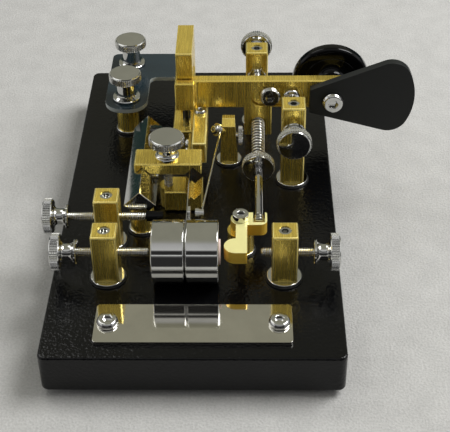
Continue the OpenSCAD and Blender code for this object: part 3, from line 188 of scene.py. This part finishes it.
lamp("left_lamp", (-0.5, 0.45, 0.95), 2.0)
lamp("right_lamp", (0.6, 0.12, 0.85), 10.0)

floor_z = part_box("rubber_mat")[0].z
corners = [(-FLOOR_HALF, FLOOR_FRONT, floor_z), (FLOOR_HALF, FLOOR_FRONT, floor_z),
           (FLOOR_HALF, FLOOR_BACK, floor_z), (-FLOOR_HALF, FLOOR_BACK, floor_z)]
cloth = bpy.data.meshes.new("floor")
cloth.from_pydata(corners, [], [(0, 1, 2, 3)])
floor = bpy.data.objects.new("floor", cloth)
scene.collection.objects.link(floor)
print("floor at", round(floor_z / MM, 2), "mm")

# %% [markdown]
# ## How a finish is made
# Every finish is a Principled shader with two noises on Object coordinates. A broad one drifts the
# colour a little, as handling and polish do. A fine one varies the gloss and bumps the surface. The
# fine noise is stretched along the grain, so brushed brass, sprayed paint and turned chrome differ.
# Brass is brushed upright on its sides and from front to back on top, so a finish may have another
# grain, its lid, for the faces that look up.

# %% Finish builder
BROAD_SCALE = 110.0
BROAD_SPAN, FINE_SPAN, GLOSS_SPAN = (0.3, 0.7), (0.35, 0.65), (0.25, 0.75)
LID_SPAN = (0.6, 0.8)


def looking_up(tree):
    normal = node(tree, "ShaderNodeTexCoord").outputs["Normal"]
    return node(tree, "ShaderNodeSeparateXYZ", links={"Vector": normal}).outputs["Z"]


def stretched(tree, place, grain):
    scale = grain if isinstance(grain, tuple) else (grain, grain, grain)
    return node(tree, "ShaderNodeMapping", {"Scale": scale}, {"Vector": place}).outputs["Vector"]


def noise(tree, place, scale, detail):
    sizes = {"Scale": scale, "Detail": detail}
    return node(tree, "ShaderNodeTexNoise", sizes, {"Vector": place}).outputs["Fac"]


def finish(name, colour, rough, swing, grain, bump, metallic=0, specular=0.5, drift=0.88, streak=1.0,
           lid=None):
    made = bpy.data.materials.new(name)
    made.use_nodes = True
    tree = made.node_tree
    shader = tree.nodes["Principled BSDF"].inputs
    shader["Metallic"].default_value = metallic
    shader["Specular IOR Level"].default_value = specular
    place = node(tree, "ShaderNodeTexCoord").outputs["Object"]
    brushed = stretched(tree, place, grain)
    if lid:
        top = spread(tree, looking_up(tree), *LID_SPAN)
        brushed = mixed(tree, top, brushed, stretched(tree, place, lid))
    fine = noise(tree, brushed, 1.0, 2.0)
    broad = noise(tree, place, BROAD_SCALE, 3.0)
    handled = {0: spread(tree, broad, *BROAD_SPAN, drift), 1: spread(tree, fine, *FINE_SPAN, streak)}
    worn = node(tree, "ShaderNodeMath", links=handled, operation="MULTIPLY").outputs["Value"]
    tree.links.new(steps(tree, worn, (0.0, 0.0), (1.0, colour)), shader["Base Color"])
    tree.links.new(spread(tree, fine, *GLOSS_SPAN, rough - swing, rough + swing), shader["Roughness"])
    depth = {"Strength": 1.0, "Distance": bump * MM}
    bumped = node(tree, "ShaderNodeBump", depth, {"Height": fine})
    tree.links.new(bumped.outputs["Normal"], shader["Normal"])
    return made


print("a finish drifts at", BROAD_SCALE, "per metre")

# %% [markdown]
# ## Finishes of the key
# The slab has a fine wrinkled paint, the posts and the lever are brushed brass, and most screws are
# polished chrome. A knurl looks paler than smooth chrome because its ridges scatter the light, so it
# has its own rougher finish. A grain is in waves per metre and a bump in millimetres.

# %% Finishes
LOOKS = {
    "base_paint": dict(colour=(0.0025, 0.0026, 0.003), rough=0.09, swing=0.04, grain=1000, bump=0.16,
                       specular=0.28),
    # The very dark mat under the slab also stands for the shade beneath the slab's edge: partly painted
    # shade.
    "mat_rubber": dict(colour=(0.012, 0.012, 0.012), rough=0.7, swing=0.1, grain=3000, bump=0.05),
    "nameplate_chrome": dict(colour=(0.74, 0.72, 0.66), rough=0.07, swing=0.03, grain=(60, 4000, 400),
                             bump=0.0004, metallic=1),
    "brass": dict(colour=(0.97, 0.73, 0.15), rough=0.25, swing=0.06, grain=(3000, 2200, 60), bump=0.002,
                  metallic=0.78, drift=0.92, streak=0.78, lid=(3000, 160, 60)),
    # A paler brass for the rounded edges: a painted highlight.
    "brass_edge_highlight": dict(colour=(1.0, 0.87, 0.36), rough=0.3, swing=0.05, grain=2500, bump=0.001,
                       metallic=0.65, drift=0.94),
    # The crank's pale top colour is a painted highlight.
    "crank_brass_painted_light": dict(colour=(1.0, 0.94, 0.43), rough=0.4, swing=0.05, grain=900, bump=0.001,
                         metallic=0.5, drift=0.95),
    "knurl_chrome": dict(colour=(0.74, 0.74, 0.72), rough=0.26, swing=0.05, grain=2500, bump=0.001,
                         metallic=0.88),
    "chrome": dict(colour=(0.68, 0.68, 0.66), rough=0.06, swing=0.03, grain=900, bump=0.0003,
                   metallic=1),
    # screw_steel is very dark; on the push rod's thread this darkness is partly painted shade.
    "screw_steel": dict(colour=(0.3, 0.3, 0.3), rough=0.22, swing=0.06, grain=(2500, 2500, 300),
                        bump=0.003, metallic=1),
    "ring_black": dict(colour=(0.01, 0.01, 0.011), rough=0.5, swing=0.1, grain=3000, bump=0.03),
    "paddle_black": dict(colour=(0.011, 0.0125, 0.012), rough=0.45, swing=0.08, grain=3600, bump=0.008,
                         specular=0.3),
    "knob_black": dict(colour=(0.002, 0.002, 0.0022), rough=0.1, swing=0.03, grain=500, bump=0.001,
                       specular=0.22),
    "plate_slate": dict(colour=(0.014, 0.026, 0.034), rough=0.14, swing=0.04, grain=1500, bump=0.002),
    "strip_steel": dict(colour=(0.6, 0.6, 0.6), rough=0.16, swing=0.05, grain=(3000, 150, 3000),
                        bump=0.002, metallic=1),
    "spring_steel": dict(colour=(0.88, 0.88, 0.85), rough=0.16, swing=0.05, grain=2500, bump=0.002,
                         metallic=1),
    "contact_silver": dict(colour=(0.8, 0.8, 0.79), rough=0.16, swing=0.05, grain=2000, bump=0.002,
                           metallic=1),
    "pad_felt": dict(colour=(0.7, 0.55, 0.5), rough=0.85, swing=0.1, grain=5000, bump=0.06),
}
finishes = {name: finish(name, **look) for name, look in LOOKS.items()}
slot_of = {p["node"]: p["material_slot"] for p in frame["record"]["subparts"]}
for name, cad in nodes.items():
    if not cad.material_slots:
        cad.data.materials.append(None)
    for place in cad.material_slots:
        place.material = finishes[slot_of[name]]
floor.data.materials.append(finish("floor_cloth", (0.53, 0.525, 0.51), rough=0.9, swing=0.05, grain=1300,
                                   bump=0.3, drift=0.9, streak=0.86))
print("finishes", len(finishes))

# %% [markdown]
# ## Two pieces with other sides
# Two pieces show another colour on their upper face than on their sides. The terminal plate is cut from
# a dark glossy sheet with a pale sawn edge. The crank's colours are painted light: its top is painted
# brighter as a painted highlight, and its sides darker as painted shade. The shader tells them apart by
# the surface direction in Object space: only the upper face looks up.

# %% Sides of the terminal plate and the crank
TOP_SPAN = (0.72, 0.92)


def with_sides(name, colour):
    tree = finishes[name].node_tree
    tint = tree.nodes["Principled BSDF"].inputs["Base Color"]
    face = tint.links[0].from_socket
    upward = spread(tree, looking_up(tree), *TOP_SPAN)
    tree.links.new(mixed(tree, upward, plain_colour(tree, colour), face), tint)
    print("sides of", name, colour)


with_sides("plate_slate", (0.33, 0.36, 0.35))
# The crank's deeper sides are painted shade, below the painted highlight on its top.
with_sides("crank_brass_painted_light", (0.85, 0.56, 0.07))

# %% [markdown]
# ## Turned pieces
# Screws, weights and the knob were made on a lathe. A turned form is a half profile spun round an axis,
# so it is enough to list radii and heights in millimetres. Edges that are sharp on the profile stay
# sharp, and the rest is shaded smooth, which mirror chrome needs more than any other finish.

# %% Turned forms
CREASE = 32


def finished(name, shape, crease=CREASE):
    bmesh.ops.recalc_face_normals(shape, faces=shape.faces)
    for face in shape.faces:
        face.smooth = True
    for edge in shape.edges:
        if len(edge.link_faces) == 2:
            edge.smooth = edge.calc_face_angle() < math.radians(crease)
    mesh = bpy.data.meshes.new(name)
    shape.to_mesh(mesh)
    shape.free()
    made = bpy.data.objects.new(name, mesh)
    scene.collection.objects.link(made)
    return made


def turned(name, profile, sides=96):
    shape = bmesh.new()
    angles = [2 * math.pi * i / sides for i in range(sides)]
    rows = []
    for radius, level in profile:
        around = angles if radius > 0 else angles[:1]
        rows.append([shape.verts.new((radius * MM * math.cos(a), radius * MM * math.sin(a), level * MM))
                     for a in around])
    hollow = profile[0][0] > 0
    for a, b in zip(rows, rows[1:] + rows[:1] if hollow else rows[1:]):
        for i in range(sides):
            j = (i + 1) % sides
            ring = [a[i % len(a)], a[j % len(a)], b[j % len(b)], b[i % len(b)]]
            shape.faces.new(list(dict.fromkeys(ring)))
    return finished(name, shape)


print("edges above", CREASE, "degrees stay sharp")

# %% [markdown]
# ## Setting a piece in its place
# A new piece takes the place of a CAD node: it rides on that node's body and has its slot. Modifiers are
# applied first, so that only a plain mesh is left, and the place goes into the mesh. The place is read
# from the node's own box, whose two ends along the piece's axis tell where it starts and stops.

# %% Places and bodies
AXES = {"X": Vector((1, 0, 0)), "Y": Vector((0, 1, 0)), "Z": Vector((0, 0, 1))}
bodies = frame["record"]["behaviour"]["bodies"]
body_with = {name: body for body, names in bodies.items() for name in names}


def settle(piece, replaced, place=Matrix.Identity(4)):
    even = piece.modifiers.new("even normals", "WEIGHTED_NORMAL")
    even.keep_sharp = True
    bpy.context.view_layer.update()
    plain = bpy.data.meshes.new_from_object(piece.evaluated_get(bpy.context.evaluated_depsgraph_get()))
    piece.modifiers.clear()
    piece.data = plain
    plain.transform(place)
    if not plain.materials:
        plain.materials.append(finishes[slot_of[replaced]])
    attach(piece, body_with[replaced])
    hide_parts(replaced)
    print(piece.name, len(plain.polygons), "faces")


def smoothed(piece):
    for face in piece.data.polygons:
        face.use_smooth = True


def placed(foot, heading):
    return Matrix.Translation(foot) @ AXES["Z"].rotation_difference(heading).to_matrix().to_4x4()


def ends(name, heading):
    low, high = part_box(name)
    middle = (low + high) / 2
    half = (high - low).dot(Vector(map(abs, heading))) / 2
    return middle - half * heading, middle + half * heading


print("nodes with a body", len(body_with))

# %% [markdown]
# ## Trees for what repeats
# A Geometry Nodes tree has named inputs for its sizes. It ends in real geometry with a finish on it,
# because instances would be lost when the model is exported. A modifier finds each input by its
# identifier, so the helper that adds one looks the names up.

# %% Tree helpers
def tree_with(name, **inputs):
    tree = bpy.data.node_groups.new(name, "GeometryNodeTree")
    tree.interface.new_socket("Geometry", in_out="INPUT", socket_type="NodeSocketGeometry")
    for key, kind in inputs.items():
        tree.interface.new_socket(key, in_out="INPUT", socket_type="NodeSocket" + kind)
    tree.interface.new_socket("Geometry", in_out="OUTPUT", socket_type="NodeSocketGeometry")
    print("tree", name, "with", ", ".join(inputs))
    return tree, node(tree, "NodeGroupInput").outputs, node(tree, "NodeGroupOutput").inputs


def joined(tree, given, grown, made, keep=False):
    both = node(tree, "GeometryNodeJoinGeometry")
    if keep:
        tree.links.new(given["Geometry"], both.inputs["Geometry"])
    tree.links.new(grown, both.inputs["Geometry"])
    real = node(tree, "GeometryNodeRealizeInstances", links={"Geometry": both.outputs["Geometry"]})
    coat = {"Geometry": real.outputs["Geometry"], "Material": given["Finish"]}
    coated = node(tree, "GeometryNodeSetMaterial", links=coat)
    tree.links.new(coated.outputs["Geometry"], made["Geometry"])


def lifted(tree, shape, level):
    offset = node(tree, "ShaderNodeCombineXYZ", links={"Z": level}).outputs["Vector"]
    moved = node(tree, "GeometryNodeTransform", links={"Geometry": shape, "Translation": offset})
    return moved.outputs["Geometry"]


def swept(tree, path, section, capped=True):
    along = {"Curve": path.outputs["Curve"], "Profile Curve": section.outputs["Curve"]}
    return node(tree, "GeometryNodeCurveToMesh", {"Fill Caps": capped}, along).outputs["Mesh"]


def spiral(tree, turns, radius, length, resolution):
    sizes = {"Rotations": turns, "Start Radius": radius, "End Radius": radius, "Height": length}
    return node(tree, "GeometryNodeCurveSpiral", {"Resolution": resolution}, sizes)


def round_curve(tree, radius, resolution):
    return node(tree, "GeometryNodeCurvePrimitiveCircle", {"Resolution": resolution}, {"Radius": radius})


def grow(piece, tree, **values):
    added = piece.modifiers.new(tree.name, "NODES")
    added.node_group = tree
    for item in tree.interface.items_tree:
        if item.in_out == "INPUT" and item.name in values:
            added[item.identifier] = values[item.name]


print("helpers", tree_with.__name__, joined.__name__, swept.__name__, spiral.__name__, grow.__name__)

# %% [markdown]
# ## Knurls and threads
# A thumb screw is gripped by fine straight ridges round its rim, and its shank carries a thread. Both
# repeat, so Geometry Nodes make them. One small square bar is set on each point of a circle with a
# corner outwards, and a four-sided profile is swept along a spiral.

# %% Knurl tree
knurl, given, made = tree_with("knurl", Ridges="Int", Radius="Float", Ridge="Float", Width="Float",
                               Middle="Float", Finish="Material")
around = node(knurl, "GeometryNodeMeshCircle",
              links={"Vertices": given["Ridges"], "Radius": given["Radius"]})
size = node(knurl, "ShaderNodeCombineXYZ",
            links={"X": given["Ridge"], "Y": given["Ridge"], "Z": given["Width"]})
bar = node(knurl, "GeometryNodeMeshCube", links={"Size": size.outputs["Vector"]})
cornered = node(knurl, "GeometryNodeTransform", {"Rotation": (0, 0, math.pi / 4)},
                {"Geometry": bar.outputs["Mesh"]})
position = node(knurl, "GeometryNodeInputPosition").outputs["Position"]
outwards = node(knurl, "FunctionNodeAlignRotationToVector", links={"Vector": position}, axis="X")
ridges = node(knurl, "GeometryNodeInstanceOnPoints",
              links={"Points": around.outputs["Mesh"], "Instance": cornered.outputs["Geometry"],
                     "Rotation": outwards.outputs["Rotation"]})
joined(knurl, given, lifted(knurl, ridges.outputs["Instances"], given["Middle"]), made)

# %% Thread tree
thread, given, made = tree_with("thread", Length="Float", Pitch="Float", Root="Float", Depth="Float",
                                Finish="Material")
turns = node(thread, "ShaderNodeMath", links={0: given["Length"], 1: given["Pitch"]}, operation="DIVIDE")
crest = spiral(thread, turns.outputs["Value"], given["Root"], given["Length"], resolution=20)
ridge = swept(thread, crest, round_curve(thread, given["Depth"], resolution=4))
below = node(thread, "ShaderNodeMath", {1: -1.0}, {0: given["Length"]}, operation="MULTIPLY")
joined(thread, given, lifted(thread, ridge, below.outputs["Value"]), made, keep=True)

# %% [markdown]
# ## Thumb screws and terminal nuts
# All of these heads share one form: a knurled rim, a waisted neck and a flat foot. Only the length of
# the thread, the height of the neck and the width of the foot differ. The lengths are read from the CAD
# node that is replaced. The thread is a little coarser than a real one of this size, so that it shows.

# %% Thumb screws
RIM_R, RIM_T, ROOT_R = 5.9, 3.1, 1.1
THREAD_PITCH, THREAD_DEPTH, THREAD_STOP, CHAMFER = 0.75, 0.38, 0.4, 0.16
RIDGES, RIDGE, KNURL_R, KNURL_W, KNURL_DROP = 46, 0.53, RIM_R - 0.38, RIM_T - 0.75, 0.05
SCREW_TALL, NUT_TALL = 8.2, 10.8


def gripped(name, place, ridges, radius, ridge, width, middle):
    piece = finished(name + "_knurl", bmesh.new())
    grow(piece, knurl, Ridges=ridges, Radius=radius * MM, Ridge=ridge * MM, Width=width * MM,
         Middle=middle * MM, Finish=finishes["knurl_chrome"])
    settle(piece, name, place)


def thumb_head(tall, foot, waist):
    under = tall - RIM_T
    return [(foot - 0.2, 0), (foot, 0.15), (foot, 0.75), (foot - 0.15, 0.9), (foot - 0.6, 1.0),
            (waist + 0.25, 1.35), (waist + 0.02, 1.9), (waist, 2.4), (waist, under - 1.5),
            (waist + 0.1, under - 0.95), (waist + 0.5, under - 0.5), (waist + 1.2, under - 0.2),
            (4.7, under - 0.1), (5.25, under), (5.46, under + 0.25), (5.46, tall - 0.35),
            (5.3, tall - 0.1), (5.05, tall), (0, tall)]


def thumb_screw(name, heading, tall, foot=4.0, waist=2.7):
    back, head = ends(name, heading)
    start = head - tall * MM * heading
    length = (start - back).length / MM
    threaded = length > 1
    shank = [(0, 0)]
    if threaded:
        shank = [(0, -length), (ROOT_R - CHAMFER, -length), (ROOT_R, CHAMFER - length), (ROOT_R, 0)]
    piece = turned(name + "_turned", shank + thumb_head(tall, foot, waist))
    if threaded:
        grow(piece, thread, Length=(length - THREAD_STOP) * MM, Pitch=THREAD_PITCH * MM,
             Root=ROOT_R * MM, Depth=THREAD_DEPTH * MM, Finish=finishes[slot_of[name]])
    settle(piece, name, placed(start, heading))
    gripped(name, placed(start, heading), RIDGES, KNURL_R, RIDGE, KNURL_W, tall - RIM_T / 2 - KNURL_DROP)


for name, heading in (("left_near_screw", -AXES["X"]), ("right_near_screw", AXES["X"]),
                      ("left_far_screw", -AXES["X"]), ("near_stop_screw", -AXES["Y"]),
                      ("far_stop_screw", AXES["Y"]), ("carriage_screw", AXES["Z"])):
    thumb_screw(name, heading, SCREW_TALL)
for name in ("near_terminal_nut", "far_terminal_nut"):
    thumb_screw(name, AXES["Z"], NUT_TALL, foot=5.1, waist=3.4)

# %% [markdown]
# ## Weights and knob
# The two weights are plain polished drums with eased edges. The finger knob is a glossy disc on a waist,
# with a fine groove round the side that faces the lever. Both show long curved reflections, so they are
# spun with more sides than the screws.

# %% Weights and knob
def drum(name, heading):
    start, stop = ends(name, heading)
    low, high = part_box(name)
    long, r = (stop - start).length / MM, (high - low).z / MM / 2
    eased = [(r - 0.55, 0), (r - 0.42, 0.03), (r - 0.1, 0.3), (r, 0.5)]
    profile = [(0, 0)] + eased + [(a, long - b) for a, b in reversed(eased)] + [(0, long)]
    settle(turned(name + "_turned", profile, sides=160), name, placed(start, heading))


drum("left_weight", -AXES["X"])
drum("right_weight", AXES["X"])

start, stop = ends("finger_knob", AXES["Y"])
deep = (stop - start).length / MM
waist = [(0, 0), (6.0, 0), (5.9, 0.4), (5.3, 1.2), (5.0, 2.2), (5.1, 3.3), (5.6, 4.4), (6.6, 5.2),
         (8.0, 5.55)]
groove = [(9.6, 5.6), (9.7, 5.72), (9.9, 5.72), (10.0, 5.6)]
rim = [(12.2, 5.6), (12.9, 5.75), (13.45, 6.2), (13.7, 6.8), (13.7, deep - 1.2), (13.45, deep - 0.6),
       (12.9, deep - 0.15), (12.2, deep)]
hollow = [(3.0, deep), (2.6, deep - 0.3), (0, deep - 0.3)]
settle(turned("finger_knob_turned", waist + groove + rim + hollow, sides=128), "finger_knob",
       placed(start, AXES["Y"]))

# %% [markdown]
# ## Small turned parts
# The spring nut and the dot contact screw are knurled like the thumb screws, with finer ridges. The dash
# contact is a small crowned button, so that it meets its screw at one point.

# %% Spring nut, dot contact screw and dash contact
FINE_RIDGE = 0.42


def knurled(name, heading, profile, ridges, radius, width, middle):
    place = placed(ends(name, heading)[0], heading)
    settle(turned(name + "_turned", profile), name, place)
    gripped(name, place, ridges, radius, FINE_RIDGE, width, middle)


nut = [(1.45, 0), (4.9, 0), (5.15, 0.12), (5.25, 0.4), (5.25, 2.7), (5.15, 2.98), (4.9, 3.1),
       (1.45, 3.1)]
knurled("spring_nut", AXES["Y"], nut, ridges=44, radius=5.3, width=2.4, middle=1.55)
screw = [(0, 0), (1.25, 0), (1.25, 3.3), (2.9, 3.3), (3.15, 3.45), (3.15, 4.9), (2.95, 5.1), (0, 5.1)]
knurled("dot_contact_screw", AXES["X"], screw, ridges=30, radius=3.2, width=1.4, middle=4.2)
crown = [(0, 0), (2.95, 0), (2.95, 1.2), (2.8, 1.65), (2.4, 2.0), (1.6, 2.15), (0, 2.2)]
settle(turned("dash_contact_button_turned", crown), "dash_contact_button",
       placed(ends("dash_contact_button", -AXES["Y"])[0], -AXES["Y"]))

# %% [markdown]
# ## Push rod
# The rod is turned as well. Three raised rings mark the end that sits in the crank, and the other half
# is threaded, so that the spring nut can travel along it and set how hard the spring presses.

# %% Push rod
ROD_R, ROD_ROOT, ROD_TIP = 1.4, 1.08, 0.3
RING_STEP, RING_LOW, RING_HIGH, RINGS_END = 1.26, 1.3, 1.5, 3.8
PAST_NUT, ROD_THREAD_DEPTH = 3, 0.31

start, stop = ends("push_rod", AXES["Y"])
long = (stop - start).length / MM
threaded = (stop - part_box("spring_nut")[0]).y / MM + PAST_NUT
rod = [(0, -long)]
for i in range(3):
    foot = i * RING_STEP - long
    rod += [(RING_LOW, foot), (RING_HIGH, foot + 0.12), (RING_HIGH, foot + 0.72),
            (RING_LOW, foot + 0.84)]
rod += [(ROD_R, RINGS_END - long), (ROD_R, -threaded - 0.3), (ROD_ROOT, -threaded), (ROD_ROOT, -ROD_TIP),
        (0.8, 0), (0, 0)]
settle(turned("push_rod_turned", rod), "push_rod", placed(stop, AXES["Y"]))
# The thread's dark steel is partly the thread's own colour and partly painted shade inside the spring.
piece = finished("push_rod_thread", bmesh.new())
grow(piece, thread, Length=(threaded - ROD_TIP) * MM, Pitch=THREAD_PITCH * MM, Root=ROD_ROOT * MM,
     Depth=ROD_THREAD_DEPTH * MM, Finish=finishes["screw_steel"])
settle(piece, "push_rod", placed(stop, AXES["Y"]))

# %% [markdown]
# ## Coil spring
# The return spring is one round wire swept along a spiral, which gives the clear dark gaps between its
# curls. A straight tube with a bump could not show them.

# %% Spring
WIRE, COIL_D, COIL_TURNS = 0.7, 4.8, 15.0

coil, given, made = tree_with("coil", Turns="Float", Radius="Float", Length="Float", Wire="Float",
                              Finish="Material")
helix = spiral(coil, given["Turns"], given["Radius"], given["Length"], resolution=40)
strand = round_curve(coil, given["Wire"], resolution=14)
joined(coil, given, swept(coil, helix, strand), made)

start, stop = ends("return_spring", AXES["Y"])
spring = finished("return_spring_wound", bmesh.new())
grow(spring, coil, Turns=COIL_TURNS, Radius=(COIL_D - WIRE) / 2 * MM,
     Length=(stop - start).length - WIRE * MM, Wire=WIRE / 2 * MM, Finish=finishes["spring_steel"])
settle(spring, "return_spring", placed(start + WIRE / 2 * MM * AXES["Y"], AXES["Y"]))
smoothed(spring)

# %% [markdown]
# ## Washers
# A bright washer lies under every post. They are one rounded ring, set by Geometry Nodes on the place of
# each post. A post's place is the middle of its box, and two posts in one node are read from the ends of
# theirs. The dot contact post has a boss at one side, so its middle is measured from its plain corner.

# %% Washers
WASHER_BORE, WASHER_EDGE = 1.6, 0.28
DOT_POST_R = 3.2
SQUARE_POSTS = ("left_near_post", "right_near_post", "left_far_post", "near_stop_post", "far_stop_post")

rings, given, made = tree_with("rings", Middle="Float", Width="Float", Thick="Float", Finish="Material")
section = node(rings, "GeometryNodeCurvePrimitiveQuadrilateral",
               links={"Width": given["Width"], "Height": given["Thick"]})
soft = node(rings, "GeometryNodeFilletCurve", {"Radius": WASHER_EDGE * MM, "Count": 4},
            {"Curve": section.outputs["Curve"]}, mode="POLY")
hoop = swept(rings, round_curve(rings, given["Middle"], resolution=72), soft, capped=False)
each = node(rings, "GeometryNodeInstanceOnPoints", links={"Points": given["Geometry"], "Instance": hoop})
joined(rings, given, each.outputs["Instances"], made)


def hoops(name, spots, outer):
    shape = bmesh.new()
    low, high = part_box("post_washers")
    for x, y in spots:
        shape.verts.new((x, y, (low.z + high.z) / 2))
    piece = finished(name, shape)
    grow(piece, rings, Middle=(outer + WASHER_BORE) / 2 * MM, Width=(outer - WASHER_BORE) * MM,
         Thick=high.z - low.z, Finish=finishes["chrome"])
    settle(piece, "post_washers")
    smoothed(piece)


def middles(*names):
    return [((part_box(n)[0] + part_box(n)[1]) / 2).xy for n in names]


def pair(name):
    low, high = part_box(name)
    half = (high - low).x / 2
    return [Vector((low.x + half, low.y + half)), Vector((low.x + half, high.y - half))]


hoops("square_post_washers", middles(*SQUARE_POSTS), outer=5.6)
dot_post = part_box("dot_contact_post")[1].xy - Vector((DOT_POST_R, DOT_POST_R)) * MM
hoops("round_post_washers",
      [dot_post] + middles("crank_post") + pair("rail_posts") + pair("terminal_standoffs"), outer=4.6)

# %% [markdown]
# ## Soft edges
# A real edge is never quite sharp, and its narrow rounding is what catches the light. These pieces copy
# their CAD solid, join its triangles into whole faces and round each outer edge sharper than 30 degrees.
# On brass the rounding gets a paler, brighter colour than the brushed faces beside it, a painted
# highlight. Posts and bars leave the short edges of their holes as they are.

# %% Soft edges
MERGE, FLAT, SHARP, SOFT_CREASE = 0.001 * MM, math.radians(0.5), math.radians(30), 40
BAR_EDGE, BAR_SHORTEST = 0.35, 1.0
EDGES = {
    "pivot_frame": 0.4, "diamond_rail": 0.25, "damper_crank": 0.35, "terminal_plate": 0.3,
    "paddle": 0.45, "nameplate": 0.25, "dash_contact_screw": 0.3, "paddle_screw": 0.3,
    "nameplate_screws": 0.3, "crank_screw": 0.25, "pendulum_arm_screw": 0.2, "dot_wire_screw": 0.2,
    "strip_clamp_screws": 0.15, "far_stop_nut": 0.2, "dash_contact_plate": 0.2, "strip_clamp": 0.2,
}
BARS = SQUARE_POSTS + ("dot_contact_post", "lever", "carriage_bar", "carriage_block", "pendulum_arm")


def softened(name, width, shortest=0.0):
    shape = bmesh.new()
    shape.from_mesh(nodes[name].data)
    bmesh.ops.remove_doubles(shape, verts=shape.verts, dist=MERGE)
    bmesh.ops.dissolve_limit(shape, angle_limit=FLAT, verts=shape.verts, edges=shape.edges)
    sharp = [e for e in shape.edges
             if e.is_convex and e.calc_face_angle() > SHARP and e.calc_length() > shortest * MM]
    brass = slot_of[name] == "brass"
    bmesh.ops.bevel(shape, geom=sharp, offset=width * MM, segments=2, profile=0.5, affect="EDGES",
                    clamp_overlap=True, material=1 if brass else 0)
    piece = finished(name + "_soft", shape, SOFT_CREASE)
    # Rounded edges on brass get the paler finish, a painted highlight.
    for coat in [slot_of[name]] + ["brass_edge_highlight"] * brass:
        piece.data.materials.append(finishes[coat])
    settle(piece, name)


for name, width in EDGES.items():
    softened(name, width)
for name in BARS:
    softened(name, BAR_EDGE, BAR_SHORTEST)
# The crank takes the painted light finish: a painted highlight on its top and painted shade on its
# sides.
bpy.data.objects["damper_crank_soft"].data.materials[0] = finishes["crank_brass_painted_light"]
